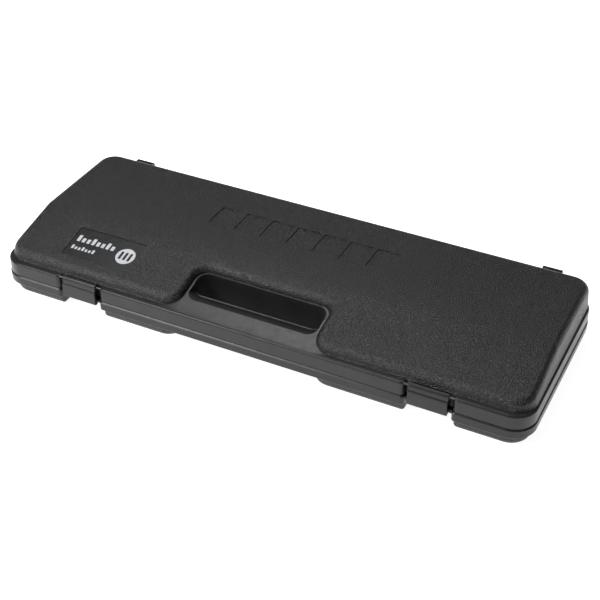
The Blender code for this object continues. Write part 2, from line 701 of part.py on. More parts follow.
def make_latch(tag, centre):
    """A plate that hangs from its eye on the lid, and its pin."""
    y, z = LATCH_AXIS_Y, LATCH_AXIS_Z
    half = LATCH_WIDTH / 2
    latch = profile_along_x(
        "latch_" + tag, latch_outline(), centre - half, centre + half, SMOOTH_BLACK, PARTS
    )
    eye = half + THROUGH
    radius = LATCH_PIN_RADIUS
    combine(latch, rod_along_x("latch_eye_" + tag, centre - eye, centre + eye, y, z, radius + CLEAR))
    reach = LATCH_NOTCH_WIDTH / 2 + 0.0028
    rod_along_x("latch_pin_" + tag, centre - reach, centre + reach, y, z, radius, STEEL, PARTS, sides=12)


def make_hinge_pin(tag, centre):
    reach = HINGE_WIDTH / 2 + 0.0002
    rod_along_x(
        "hinge_pin_" + tag, centre - reach, centre + reach,
        HINGE_AXIS_Y, HINGE_AXIS_Z, HINGE_PIN_RADIUS, STEEL, PARTS, sides=14,
    )


# Instrument


def make_lower_housing():
    """The tray that holds the wind chest, with a rib for the felt and four screw posts."""
    corners = box_corners(-BODY_HALF_LENGTH, BODY_HALF_LENGTH, BODY_FRONT, BODY_BACK, BODY_RADIUS)
    inside_floor = BODY_BOTTOM + BODY_WALL
    above = BODY_SPLIT + THROUGH
    buried = BODY_BOTTOM + THROUGH
    outside = [(0.0022, BODY_BOTTOM), (0.0007, BODY_BOTTOM + 0.0007)]
    outside += [(0.0, BODY_BOTTOM + 0.0024), (0.0, BODY_SPLIT)]
    housing = stacked("lower_housing", corners, outside, HOUSING_BLACK, PARTS)
    combine(housing, stacked("lower_inside", corners, [(BODY_WALL, inside_floor), (BODY_WALL, above)]))
    rib_low = (-FELT_HALF_LENGTH, KEY_FRONT + 0.0060, buried)
    rib_high = (FELT_HALF_LENGTH, KEY_FRONT + 0.0076, FELT_BOTTOM - CLEAR)
    combine(housing, block("stop_rib", rib_low, rib_high), "UNION")
    pad, recess = STRAP_HALF_LENGTH + 0.0035, STRAP_HALF_LENGTH + 0.0015
    pad_low = (-pad, STRAP_FRONT - 0.003, buried)
    combine(housing, block("strap_pad", pad_low, (pad, STRAP_BACK + 0.003, 0.0092)), "UNION")
    recess_low = (-recess, STRAP_FRONT - 0.001, 0.0)
    combine(housing, block("strap_recess", recess_low, (recess, STRAP_BACK + 0.001, STRAP_TOP + CLEAR)))
    for tag, x, y in SCREWS:
        post = rod_along_z("post_" + tag, x, y, buried, BODY_SPLIT - 0.0001, SCREW_POST_RADIUS)
        combine(housing, post, "UNION")
        combine(housing, rod_along_z("post_hole_" + tag, x, y, 0.0, above, SCREW_RADIUS + CLEAR))
        head_top = BODY_BOTTOM + SCREW_SINK
        combine(housing, rod_along_z("head_seat_" + tag, x, y, 0.0, head_top, SCREW_HEAD_RADIUS + CLEAR))
    inner, outer = BODY_HALF_LENGTH - BODY_WALL - CLEAR, BODY_HALF_LENGTH + THROUGH
    half = SOCKET_PLATE / 2 + CLEAR
    seat = block("socket_seat", (-outer, AIRWAY_Y - half, inside_floor), (-inner, AIRWAY_Y + half, above))
    combine(housing, seat)
    radius = BUTTON_RADIUS + BUTTON_CLEAR
    combine(housing, rod_along_x("button_hole", inner, outer, AIRWAY_Y, AIRWAY_Z, radius, sides=20))


def make_upper_housing():
    """Two end cheeks joined by the front rail and by the hood over the levers."""
    low = BODY_SPLIT + CLEAR
    brow = 0.0378
    hood_outside = [
        (BODY_BACK, low), (BODY_BACK, HOOD_TOP - 0.0050), (BODY_BACK - 0.0015, HOOD_TOP - 0.0015),
        (BODY_BACK - 0.0050, HOOD_TOP), (HOOD_FRONT + 0.0040, HOOD_TOP), (HOOD_FRONT, brow),
    ]
    cheek = [
        (BODY_FRONT, low), *hood_outside,
        (BODY_FRONT + 0.0120, brow), (BODY_FRONT + 0.0016, 0.0320), (BODY_FRONT, 0.0296),
    ]
    outer, inner = BODY_HALF_LENGTH, BODY_HALF_LENGTH - CHEEK
    housing = profile_along_x("upper_housing", cheek, -outer, -inner, HOUSING_BLACK, PARTS)
    combine(housing, profile_along_x("right_cheek", cheek, inner, outer), "UNION")
    rail = [
        (BODY_FRONT, low), (BODY_FRONT + 0.0058, low), (BODY_FRONT + 0.0058, 0.0310),
        (BODY_FRONT + 0.0030, 0.0314), (BODY_FRONT + 0.0010, 0.0304), (BODY_FRONT, 0.0290),
    ]
    joined = inner + 2 * THROUGH
    combine(housing, profile_along_x("front_rail", rail, -joined, joined), "UNION")
    wall = BODY_WALL
    lip = brow - 0.0014
    hood = [
        *hood_outside, (HOOD_FRONT, lip), (HOOD_FRONT + 0.0016, lip),
        (HOOD_FRONT + 0.0046, HOOD_TOP - wall), (BODY_BACK - 0.0056, HOOD_TOP - wall),
        (BODY_BACK - wall, HOOD_TOP - 0.0056), (BODY_BACK - wall, low),
    ]
    combine(housing, profile_along_x("hood", hood, -joined, joined), "UNION")
    radius = SCREW_RADIUS + CLEAR
    for tag, x, y in SCREWS:
        combine(housing, rod_along_z("cheek_hole_" + tag, x, y, low - THROUGH, SCREW_TIP + CLEAR, radius))
    corners = box_corners(-outer, outer, BODY_FRONT, BODY_BACK, BODY_RADIUS)
    plan = stacked("upper_plan", corners, [(0.0, low - THROUGH), (0.0, HOOD_TOP + THROUGH)])
    combine(housing, plan, "INTERSECT")
    reach = ROD_HALF_LENGTH + CLEAR
    for tag, x0, x1 in (("left", -reach, -inner + THROUGH), ("right", inner - THROUGH, reach)):
        combine(housing, rod_along_x("rod_seat_" + tag, x0, x1, ROD_Y, ROD_Z, ROD_CLEAR, sides=14))


def make_wind_chest():
    """The air chest under the pallet plate, open at the top, with its airway at the left end."""
    high = PALLET_TOP - PALLET_THICKNESS - CLEAR
    half, wall = CHEST_HALF_LENGTH, CHEST_WALL
    chest_low, chest_high = (-half, CHEST_FRONT, CHEST_BOTTOM), (half, CHEST_BACK, high)
    chest = block("wind_chest", chest_low, chest_high, CHEST_GREY, PARTS)
    hollow_low = (-half + wall, CHEST_FRONT + wall, CHEST_BOTTOM + wall)
    hollow_high = (half - wall, CHEST_BACK - wall, high + THROUGH)
    combine(chest, block("chest_hollow", hollow_low, hollow_high))
    inner, outer = half - 0.003, half + THROUGH
    combine(chest, rod_along_x("airway", -outer, -inner, AIRWAY_Y, AIRWAY_Z, SOCKET_BORE, sides=20))
    combine(chest, rod_along_x("drain_hole", inner, outer, AIRWAY_Y, AIRWAY_Z, DRAIN_RADIUS))
    ledge, length = REED_BOTTOM - CLEAR, half - THROUGH
    for tag, y in (("front", CHEST_FRONT + 0.0025), ("back", CHEST_BACK - 0.0025)):
        rail = block("reed_ledge_" + tag, (-length, y - 0.0015, ledge - 0.0015), (length, y + 0.0015, ledge))
        combine(chest, rail, "UNION")


def make_reed_plate(keys):
    """Brass plate with a tongue under each key, cut free on three sides. High notes have short tongues."""
    margin = CHEST_WALL + CLEAR
    plate = block(
        "reed_plate", (-CHEST_HALF_LENGTH + margin, CHEST_FRONT + margin, REED_BOTTOM),
        (CHEST_HALF_LENGTH - margin, CHEST_BACK - margin, REED_BOTTOM + REED_THICKNESS), BRASS, PARTS,
    )
    slits, tips = [], []
    half, slit = REED_HALF_WIDTH, REED_SLIT
    low, high = REED_BOTTOM - THROUGH, REED_BOTTOM + REED_THICKNESS + THROUGH
    for number, key in enumerate(keys):
        length = REED_LONGEST + (REED_SHORTEST - REED_LONGEST) * number / (len(keys) - 1)
        x, y0 = key["lever"], REED_ROOT - length
        slits.append(((x - half - slit, y0, low), (x - half, REED_ROOT, high)))
        slits.append(((x + half, y0, low), (x + half + slit, REED_ROOT, high)))
        tips.append(((x - half - slit, y0 - slit, low), (x + half + slit, y0 + slit / 2, high)))
    combine(plate, blocks("reed_slits", slits))
    combine(plate, blocks("reed_tips", tips))


def make_pallet_plate(keys):
    """Cover of the wind chest, with the air hole that each key's pad closes."""
    plate = block(
        "pallet_plate", (-CHEST_HALF_LENGTH, CHEST_FRONT, PALLET_TOP - PALLET_THICKNESS),
        (CHEST_HALF_LENGTH, CHEST_BACK, PALLET_TOP), CHEST_GREY, PARTS,
    )
    half, land = LEVER_WIDTH / 2 - 0.0012, 0.0014
    low, high = PALLET_TOP - PALLET_THICKNESS - THROUGH, PALLET_TOP + THROUGH
    front, back = PAD_FRONT + land, LEVER_BACK - land
    holes = [((key["lever"] - half, front, low), (key["lever"] + half, back, high)) for key in keys]
    combine(plate, blocks("air_holes", holes))


def make_spring_comb(keys):
    """One strip of sheet bronze with a finger over each lever."""
    top = HOOD_TOP - BODY_WALL - CLEAR
    back, sheet, tip = COMB_BACK, COMB_SHEET, WHITE_TOP + COMB_CLEAR
    profile = [
        (back, top - sheet), (back, top), (back - 0.0040, top), (back - 0.0100, tip + sheet),
        (back - 0.0104, tip), (back - 0.0044, top - sheet),
    ]
    half = BODY_HALF_LENGTH - CHEEK - THROUGH
    comb = profile_along_x("spring_comb", profile, -half, half, BRASS, PARTS)
    fingers = [(key["lever"] - COMB_FINGER, key["lever"] + COMB_FINGER) for key in keys]
    starts = [-HALF_LENGTH, *[right for _, right in fingers]]
    ends = [*[left for left, _ in fingers], HALF_LENGTH]
    gaps = [
        ((x0, back - 0.012, tip - THROUGH), (x1, back - 0.0042, top + THROUGH))
        for x0, x1 in zip(starts, ends)
    ]
    combine(comb, blocks("comb_gaps", gaps))


def make_socket():
    """A tube on a square plate in the end wall, with a stop behind it and a round flange outside."""
    y, z = AIRWAY_Y, AIRWAY_Z
    low, high = BODY_BOTTOM + BODY_WALL + CLEAR, BODY_SPLIT
    flange_out, inner_end = BODY_HALF_LENGTH + FLANGE_REACH, CHEST_HALF_LENGTH + CLEAR
    wall_in = BODY_HALF_LENGTH - BODY_WALL - CLEAR
    half, stop = SOCKET_PLATE / 2, SOCKET_STOP / 2
    plate_low, plate_high = (-BODY_HALF_LENGTH, y - half, low), (-wall_in, y + half, high)
    socket = block("mouthpiece_socket", plate_low, plate_high, SMOOTH_BLACK, PARTS)
    stop_low = (-wall_in, y - stop, low)
    stop_high = (-wall_in + SOCKET_STOP_THICKNESS, y + stop, high)
    combine(socket, block("socket_stop", stop_low, stop_high), "UNION")
    tube_start = CLEAR - flange_out
    tube = rod_along_x("socket_tube", tube_start, -inner_end, y, z, SOCKET_RADIUS, sides=24)
    combine(socket, tube, "UNION")
    flange_in = -BODY_HALF_LENGTH - CLEAR
    flange = rod_along_x("socket_flange", -flange_out, flange_in, y, z, SOCKET_FLANGE_RADIUS, sides=24)
    combine(socket, flange, "UNION")
    bore_start = -flange_out - THROUGH
    bore = rod_along_x("socket_bore", bore_start, -inner_end + THROUGH, y, z, SOCKET_BORE, sides=20)
    combine(socket, bore)


def make_drain_button():
    """A button in the right end wall, with the stem that reaches for the drain hole."""
    y, z = AIRWAY_Y, AIRWAY_Z
    cap, cap_end = BODY_HALF_LENGTH - BUTTON_LENGTH, BODY_HALF_LENGTH + FLANGE_REACH
    button = rod_along_x("drain_button", cap, cap_end, y, z, BUTTON_RADIUS, SMOOTH_BLACK, PARTS, sides=20)
    stem_tip = CHEST_HALF_LENGTH + 0.0018
    stem = rod_along_x("button_stem", stem_tip, cap + THROUGH / 2, y, z, BUTTON_STEM_RADIUS, sides=12)
    combine(button, stem, "UNION")


def make_drain_spring():
    """The coil around the button's stem, at the length it has when the button is pressed."""
    x0 = CHEST_HALF_LENGTH + 2 * CLEAR + SPRING_WIRE
    x1 = BODY_HALF_LENGTH - BUTTON_LENGTH - 0.0021 - SPRING_WIRE
    spring = bpy.data.curves.new("drain_spring", "CURVE")
    spring.dimensions = "3D"
    spring.bevel_depth = SPRING_WIRE
    spring.bevel_resolution = 2
    spring.use_fill_caps = True
    spring.materials.append(STEEL)
    line = spring.splines.new("POLY")
    last = SPRING_TURNS * SPRING_POINTS_PER_TURN
    line.points.add(last)
    for step in range(last + 1):
        angle = math.tau * SPRING_TURNS * step / last
        y = AIRWAY_Y + SPRING_RADIUS * math.cos(angle)
        z = AIRWAY_Z + SPRING_RADIUS * math.sin(angle)
        line.points[step].co = (x0 + (x1 - x0) * step / last, y, z, 1)
    PARTS.objects.link(bpy.data.objects.new("drain_spring", spring))


def make_key_fittings():
    """The rod that the keys turn on, the felt that stops them, and the strap under the housing."""
    rod_along_x(
        "key_rod", -ROD_HALF_LENGTH, ROD_HALF_LENGTH, ROD_Y, ROD_Z, ROD_RADIUS, STEEL, PARTS, sides=12
    )
    felt_low = (-FELT_HALF_LENGTH, KEY_FRONT + 0.0035, FELT_BOTTOM)
    block("key_stop_felt", felt_low, (FELT_HALF_LENGTH, KEY_FRONT + 0.0100, FELT_TOP), FELT, PARTS)
    strap_low = (-STRAP_HALF_LENGTH, STRAP_FRONT, BODY_BOTTOM + CLEAR + 0.0012)
    block("hand_strap", strap_low, (STRAP_HALF_LENGTH, STRAP_BACK, STRAP_TOP), STRAP, PARTS)


def make_screws():
    low, high = BODY_BOTTOM + CLEAR, BODY_BOTTOM + SCREW_SINK - CLEAR
    for tag, x, y in SCREWS:
        screw = rod_along_z("screw_" + tag, x, y, low, high, SCREW_HEAD_RADIUS, STEEL, PARTS)
        shank = rod_along_z("shank_" + tag, x, y, high - SCREW_SLOT, SCREW_TIP, SCREW_RADIUS)
        combine(screw, shank, "UNION")
        slot_low = (x - SCREW_POST_RADIUS, y - SCREW_SLOT / 2, 0.0)
        slot_high = (x + SCREW_POST_RADIUS, y + SCREW_SLOT / 2, low + SCREW_SLOT)
        combine(screw, block("drive_" + tag, slot_low, slot_high))


def make_mouthpiece():
    """The short mouthpiece, lying in the right tray: a turned stem that widens, bored through."""
    profile = [
        (0.0, 0.0041), (0.012, 0.0044), (0.013, 0.0068), (0.016, 0.0068), (0.020, 0.0056), (0.034, 0.0062),
        (0.050, 0.0078), (0.066, MOUTHPIECE_RADIUS), (0.070, 0.0080), (MOUTHPIECE_LENGTH, 0.0066),
        (MOUTHPIECE_LENGTH, MOUTHPIECE_BORE + 0.0004), (0.040, MOUTHPIECE_BORE), (0.0, MOUTHPIECE_BORE),
    ]
    bm = bmesh.new()
    points = [bm.verts.new((radius, 0.0, -along)) for along, radius in profile]
    for one, two in zip(points, points[1:] + points[:1]):
        bm.edges.new((one, two))
    mesh = bpy.data.meshes.new("mouthpiece")
    bm.to_mesh(mesh)
    bm.free()
    mouthpiece = finished("mouthpiece", mesh, CREAM)
    turned = mouthpiece.modifiers.new("turned", "SCREW")
    turned.angle = math.tau
    turned.steps = turned.render_steps = 20
    turned.use_merge_vertices = True
    turned.merge_threshold = 0.00005
    turned.use_smooth_shade = True
    height = BASE_FLOOR + CLEAR + MOUTHPIECE_RADIUS
    mouthpiece.location = (MOUTHPIECE_X, (TRAY_FRONT + TRAY_BACK) / 2, height)
    mouthpiece.rotation_euler = (0.0, math.radians(-90), 0.0)


# Keyboard


def keyboard():
    """Each key's name, sort, own x range, cut-outs and lever position, from left to right."""
    keys = []
    left_edge = -WHITE_COUNT * KEY_PITCH / 2
    before = None
    for i in range(WHITE_COUNT):
        step = FIRST_WHITE + i
        letter, has_black = OCTAVE[step % len(OCTAVE)]
        has_black = has_black and i + 1 < WHITE_COUNT
        octave = FIRST_OCTAVE + step // len(OCTAVE)
        x0, x1 = left_edge + i * KEY_PITCH, left_edge + (i + 1) * KEY_PITCH
        cut_left = cut_right = KEY_GAP / 2
        if before is not None:
            cut_left = BLACK_OFFSET[before] + BLACK_WIDTH / 2 + KEY_GAP
        if has_black:
            cut_right = BLACK_WIDTH / 2 - BLACK_OFFSET[letter] + KEY_GAP
        neck = (x0 + cut_left, x1 - cut_right)
        keys.append({
            "name": f"key_{letter}{octave}", "white": True, "left": x0, "right": x1,
            "neck": neck, "lever": (neck[0] + neck[1]) / 2,
        })
        before = letter if has_black else None
        if has_black:
            centre = x1 + BLACK_OFFSET[letter]
            keys.append({
                "name": f"key_{letter}sharp{octave}", "white": False,
                "neck": (centre - BLACK_WIDTH / 2, centre + BLACK_WIDTH / 2), "lever": centre,
            })
    return keys


def lever_profile():
    """Under side of a key's rear half, from its front: the rod's slot, then the pad."""
    shoulder = WHITE_BOTTOM + 0.0014
    points = [(KEY_BACK - 0.002, WHITE_BOTTOM), (ROD_Y - ROD_CLEAR, shoulder)]
    for step in range(ROD_SLOT_STEPS + 1):
        angle = math.radians(180 - 180 * step / ROD_SLOT_STEPS)
        points.append((ROD_Y + ROD_CLEAR * math.cos(angle), ROD_Z + ROD_CLEAR * math.sin(angle)))
    points += [(ROD_Y + ROD_CLEAR, shoulder), (PAD_FRONT, WHITE_BOTTOM)]
    points += [(PAD_FRONT, PALLET_TOP + CLEAR), (LEVER_BACK, PALLET_TOP + CLEAR)]
    return points


def white_plan(key, x0, x1):
    """Plan of a white key: full width in front of the black keys, a neck between them, and its lever."""
    n0, n1 = key["neck"]
    lever0, lever1 = key["lever"] - LEVER_WIDTH / 2, key["lever"] + LEVER_WIDTH / 2
    front, shoulder, end = KEY_FRONT - THROUGH, BLACK_FRONT - KEY_GAP, LEVER_BACK + THROUGH
    plan = [(x0, front), (x1, front)]
    if n1 < x1 - THROUGH:
        plan += [(x1, shoulder), (n1, shoulder)]
    plan += [(min(n1, x1), KEY_BACK), (lever1, KEY_BACK), (lever1, end), (lever0, end), (lever0, KEY_BACK)]
    plan.append((max(n0, x0), KEY_BACK))
    if n0 > x0 + THROUGH:
        plan += [(n0, shoulder), (x0, shoulder)]
    return plan


def white_key(key):
    side = [(KEY_FRONT, WHITE_BOTTOM), *lever_profile()]
    side += [(LEVER_BACK, WHITE_TOP - 0.002), (LEVER_BACK - 0.002, WHITE_TOP)]
    side += [(KEY_FRONT + 0.0012, WHITE_TOP), (KEY_FRONT + 0.0003, WHITE_TOP - 0.0004)]
    side.append((KEY_FRONT, WHITE_TOP - 0.0013))
    x0, x1 = key["left"] + KEY_GAP / 2, key["right"] - KEY_GAP / 2
    n0, n1 = max(key["neck"][0], x0), min(key["neck"][1], x1)
    made = profile_along_x(key["name"], side, x0, x1, IVORY, PARTS)
    rings = [[(x, y, z) for x, y in white_plan(key, x0, x1)] for z in (0.0, LID_TOP)]
    combine(made, lofted("plan_" + key["name"], rings), "INTERSECT")
    wall, low, high = KEY_WALL, WHITE_BOTTOM - THROUGH, WHITE_TOP - KEY_WALL
    shoulder = BLACK_FRONT - KEY_GAP - wall
    pockets = [
        ((x0 + wall, KEY_FRONT + wall, low), (x1 - wall, shoulder, high)),
        ((n0 + wall, BLACK_FRONT + 0.001, low), (n1 - wall, KEY_BACK - 0.006, high)),
    ]
    combine(made, blocks("pocket_" + key["name"], pockets))


def black_key(key):
    side = [(BLACK_FRONT, WHITE_BOTTOM), *lever_profile(), (LEVER_BACK, WHITE_TOP - 0.001)]
    side += [(KEY_BACK + 0.0004, WHITE_TOP - 0.001), (KEY_BACK - 0.0008, WHITE_TOP)]
    side += [(KEY_BACK - 0.0008, BLACK_TOP - 0.0006), (KEY_BACK - 0.0014, BLACK_TOP)]
    side += [(BLACK_FRONT + 0.0048, BLACK_TOP), (BLACK_FRONT + 0.0034, BLACK_TOP - 0.0007)]
    side.append((BLACK_FRONT, WHITE_TOP - 0.0010))
    x0, x1 = key["neck"]
    lever0, lever1 = key["lever"] - LEVER_WIDTH / 2, key["lever"] + LEVER_WIDTH / 2
    front, step, end = BLACK_FRONT - THROUGH, KEY_BACK - 0.0004, LEVER_BACK + THROUGH
    made = profile_along_x(key["name"], side, x0, x1, EBONY, PARTS)
    levels = ((0.0, 0.0), (WHITE_TOP - 0.0015, 0.0), (BLACK_TOP - 0.0006, BLACK_TAPER))
    rings = []
    for z, inset in (*levels, (BLACK_TOP + 0.0007, 2 * BLACK_TAPER)):
        plan = [(x0 + inset, front), (x1 - inset, front), (x1 - inset, step), (lever1, step)]
        plan += [(lever1, end), (lever0, end), (lever0, step), (x0 + inset, step)]
        rings.append([(x, y, z) for x, y in plan])
    combine(made, lofted("plan_" + key["name"], rings), "INTERSECT")
    wall = KEY_WALL + 0.0002
    low = (x0 + wall + BLACK_TAPER, BLACK_FRONT + 0.005, WHITE_BOTTOM - THROUGH)
    high = (x1 - wall - BLACK_TAPER, KEY_BACK - 0.006, BLACK_TOP - wall)
    combine(made, block("pocket_" + key["name"], low, high))


def hang(name, axis_point):
    """Moves a piece's origin to a point on its joint's axis, and leaves its shape where it is."""
    piece = bpy.data.objects[name]
    piece.data.transform(Matrix.Translation(-Vector(axis_point)))
    piece.location = axis_point


make_lid()
make_badge()
make_base()
for side_name, side_sign in (("left", -1), ("right", 1)):
    make_latch(side_name, side_sign * LATCH_X)
    make_hinge_pin(side_name, side_sign * HINGE_X)
KEYS = keyboard()
make_lower_housing()
make_upper_housing()
make_wind_chest()
make_reed_plate(KEYS)
make_pallet_plate(KEYS)
make_spring_comb(KEYS)
make_socket()
make_drain_button()
make_drain_spring()
make_key_fittings()
make_screws()
make_mouthpiece()
for one_key in KEYS:
    if one_key["white"]:
        white_key(one_key)
    else:
        black_key(one_key)

for lid_piece in ("case_lid", "name_badge", "latch_pin_left", "latch_pin_right"):
    hang(lid_piece, (0.0, HINGE_AXIS_Y, HINGE_AXIS_Z))
hang("latch_left", (-LATCH_X, LATCH_AXIS_Y, LATCH_AXIS_Z))
hang("latch_right", (LATCH_X, LATCH_AXIS_Y, LATCH_AXIS_Z))
hang("drain_button", (BODY_HALF_LENGTH, AIRWAY_Y, AIRWAY_Z))
for one_key in KEYS:
    hang(one_key["name"], (one_key["lever"], ROD_Y, ROD_Z))
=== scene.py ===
"""The looks of a melodica in its moulded carrying case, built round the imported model."""

import json
import math

import bmesh
import bpy
from mathutils import Matrix, Vector


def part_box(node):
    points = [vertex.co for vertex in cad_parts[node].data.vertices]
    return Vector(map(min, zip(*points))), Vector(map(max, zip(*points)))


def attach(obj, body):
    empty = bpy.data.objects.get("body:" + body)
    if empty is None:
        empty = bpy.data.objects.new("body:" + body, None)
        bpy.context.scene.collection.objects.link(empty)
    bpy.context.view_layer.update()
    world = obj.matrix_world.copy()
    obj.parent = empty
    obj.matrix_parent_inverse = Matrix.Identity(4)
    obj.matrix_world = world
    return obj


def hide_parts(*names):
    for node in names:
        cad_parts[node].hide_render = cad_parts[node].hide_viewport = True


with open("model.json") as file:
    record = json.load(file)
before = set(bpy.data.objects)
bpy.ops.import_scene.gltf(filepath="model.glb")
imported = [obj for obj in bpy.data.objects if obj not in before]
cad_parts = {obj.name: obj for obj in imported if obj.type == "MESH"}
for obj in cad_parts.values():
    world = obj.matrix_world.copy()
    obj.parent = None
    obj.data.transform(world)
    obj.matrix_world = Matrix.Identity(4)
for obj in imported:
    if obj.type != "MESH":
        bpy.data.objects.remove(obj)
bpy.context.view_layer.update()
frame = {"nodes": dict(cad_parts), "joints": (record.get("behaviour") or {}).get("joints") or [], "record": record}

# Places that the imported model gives
JOINTS = {joint["name"]: joint for joint in frame["joints"]}
HINGE = Vector(JOINTS["lid_hinge"]["pos_m"])
LATCH_AXIS = Vector(JOINTS["latch_left_pivot"]["pos_m"])
BASE_LOW, BASE_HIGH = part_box("case_base")
BADGE_LOW, BADGE_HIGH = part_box("name_badge")
PARTING = HINGE.z
HALF_LENGTH = BASE_HIGH.x
RIM_FRONT = BASE_LOW.y
RIM_BACK = HINGE.y - 0.0038
LID_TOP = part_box("case_lid")[1].z

# How finely the pieces are made, and how far a cutter goes past the face that it opens
ARC_STEPS = 10
EDGE_STEPS = 8
BADGE_EDGE_STEPS = 4
GRIP_COLUMNS = 48
GRIP_ROWS = 16
ROD_SIDES = 32
SLIVER = 0.000001
STRAIGHT = 0.000001
LEAST_RADIUS = 0.0003
OVERLAP = 0.001

# Rims of the two halves, their notches for the latches and the catches in them
RIM_RADIUS = 0.020
RIM_EDGE = 0.0018
BASE_RIM_EDGE = 0.0011
LID_RIM_TOP = PARTING + 0.0131
LID_RIM_DRAFT = 0.0006
LID_RIM_FOOT = ((0.0008, 0.0), (0.0002, 0.0004), (0.0, 0.0010))
BASE_RIM_LOW = PARTING - 0.0085
PARTING_GAP = 0.00015
PARTING_LIP = 0.0010
LATCH_X = abs(LATCH_AXIS.x)
LATCH_NOTCH_WIDTH = 0.0386
LATCH_NOTCH_CORNER = 0.0010
LID_NOTCH_DEPTH, LID_NOTCH_MOUTH = 0.0055, 0.0044
BASE_NOTCH_DEPTH, BASE_NOTCH_MOUTH = 0.008, 0.0030
CATCH_HALF = LATCH_NOTCH_WIDTH / 2 + 0.002
CATCH_PROFILE = (
    (RIM_FRONT + 0.0036, PARTING - 0.0030), (RIM_FRONT + 0.0100, PARTING - 0.0052),
    (RIM_FRONT + 0.0100, PARTING - 0.0006), (RIM_FRONT + 0.0042, PARTING - 0.0012),
)

# Panel of the lid, with its slope in front of the crease
CREASE_Y = RIM_FRONT + 0.0700
TOP_SLOPE = 0.213
LID_BODY_SIDE = 0.0022
LID_BODY_FRONT = 0.0062
LID_BODY_RADIUS = 0.017
LID_DRAFT = 0.0012
LID_EDGE = 0.0060
LID_EDGE_SHARE = 0.8
PANEL_SINK = 0.003
LID_WALL = 0.0026
LID_CEILING = LID_TOP - 0.0030

# Body of the base
BASE_BODY_INSET = 0.0045
BASE_BODY_RADIUS = RIM_RADIUS - 0.003
BASE_EDGE = 0.0042
BASE_FLOOR = 0.003
LATCH_WELL_WIDTH = 0.040
LATCH_WELL_DEPTH = 0.017
LATCH_WELL_RADIUS = 0.0030

# Handle, its finger slot and the smooth recess around it
HANDLE_X = -0.0052
SLOT_LENGTH = 0.1185
SLOT_FRONT = RIM_FRONT + 0.0302
SLOT_BACK = RIM_FRONT + 0.0481
SLOT_RADIUS = 0.0088
SLOT_LIP = 0.0007
SLOT_BEAD = 0.0009
SLOT_LIP_ROUND, SLOT_LIP_STEPS = 0.6 * SLOT_LIP, 4
SLOT_BEAD_ROUND, SLOT_BEAD_STEPS = 0.9 * SLOT_BEAD, 5
GRIP_FRONT = 0.0024
GRIP_INSET = 0.0023
GRIP_FADE_START = 0.001
GRIP_BACK_RISE = 0.0102
GRIP_BLEND = 0.0020
GRIP_FADE = 0.020
GRIP_ROLL = 0.0120
GRIP_FOOT = PARTING + 0.01292
LID_NOTCH_LEDGE = 0.0010
BASE_NOTCH_LEDGE = 0.0025
LOBE_RADIUS = 0.015

# Hollows for the instrument and its small things
WELL_HALF_LENGTH = 0.216
WELL_FRONT = RIM_FRONT + 0.0654
WELL_BACK = RIM_FRONT + 0.1660
WELL_RADIUS = 0.007
LID_WELL_LEVELS = (
    (PARTING - OVERLAP, 0.0, 0.0),
    (PARTING + 0.013, 0.0012, 0.0004),
    (LID_CEILING, 0.0042, 0.0012),
)
TRAY_FRONT = RIM_FRONT + 0.0215
LID_TRAY_FRONT = RIM_FRONT + 0.0115
TRAY_BACK = RIM_FRONT + 0.0585
TRAY_RADIUS = 0.006
TRAYS = ((-0.229, -0.0705), (0.066, 0.229))
POCKET_INNER = 0.2220
POCKET_OUTER_LID = 0.233
POCKET_OUTER_BASE = 0.2305
POCKET_FRONT = RIM_FRONT + 0.063
POCKET_BACK = RIM_BACK - 0.014
POCKET_RADIUS = 0.004
LID_POCKET_TOP = LID_CEILING - 0.003
RECESS_END = 0.2199
RECESS_HALF = 0.010

# Hinges: the lid's tall ears, and the knuckles of both halves on their webs, which are (y, z) profiles
HINGE_X = 0.200
PIN_CLEARANCE = 0.0003
LATCH_BORE_SPARE = 0.0004
KNUCKLE_RADIUS = 0.0032
LID_KNUCKLE_HALF = 0.004
BASE_KNUCKLE = (0.0044, 0.0085)
HINGE_BORE_HALF = 0.0095
EAR_HALF = 0.0085
EAR_OUT = RIM_BACK + 0.0063
EAR_LOW, EAR_HIGH = PARTING + 0.005, PARTING + 0.0285
EAR_FOOT_RADIUS, EAR_TOP_RADIUS = 0.0015, 0.0027
EAR_ROOT = RIM_BACK - 0.004
WEB_ROOT = RIM_BACK - 0.002
LID_WEB = (
    (WEB_ROOT, PARTING + 0.0006), (HINGE.y + 0.0032, PARTING + 0.0006),
    (HINGE.y + 0.0025, EAR_LOW + OVERLAP), (WEB_ROOT, EAR_LOW + OVERLAP),
)
BASE_WEB = (
    (WEB_ROOT, PARTING - 0.0072), (RIM_BACK + 0.001, PARTING - 0.0072),
    (HINGE.y + 0.0029, PARTING - 0.0016), (HINGE.y, PARTING - 0.0006), (WEB_ROOT, PARTING - 0.0006),
)

# Relief bars and badge on the lid, and what tells the finish of a face
RELIEF_BARS = 7
RELIEF_PITCH = 0.025
RELIEF_BAR = 0.0215
RELIEF_X = -0.004
RELIEF_Y = RIM_FRONT + 0.1171
RELIEF_DEPTH = 0.028
RELIEF_CUT = 0.0008
RELIEF_LEAN = 0.0002
RELIEF_RADIUS = 0.0015
BADGE_RADIUS = 0.0015
BADGE_CHAMFER = 0.0009
BADGE_DEPTH = 0.0004
BADGE_RECESS_LEVELS = ((-0.0009, 0.0), (-0.0005, 0.0), (0.0001, BADGE_CHAMFER), (OVERLAP, BADGE_CHAMFER))
CHAMFER_REACH = 0.002
BADGE_MARGIN = 0.0002
BADGE_EDGE = 0.0002
BADGE_THICKNESS = 0.0004
INK_HEIGHT = 0.00008
INK_SINK = 0.0001
BADGE_SOFT_ANGLE = 60
DEEPEST_MARK = 0.0009
SKIN_SLACK = 0.0001
UPRIGHT = 0.1
NOT_UPWARDS = 0.2

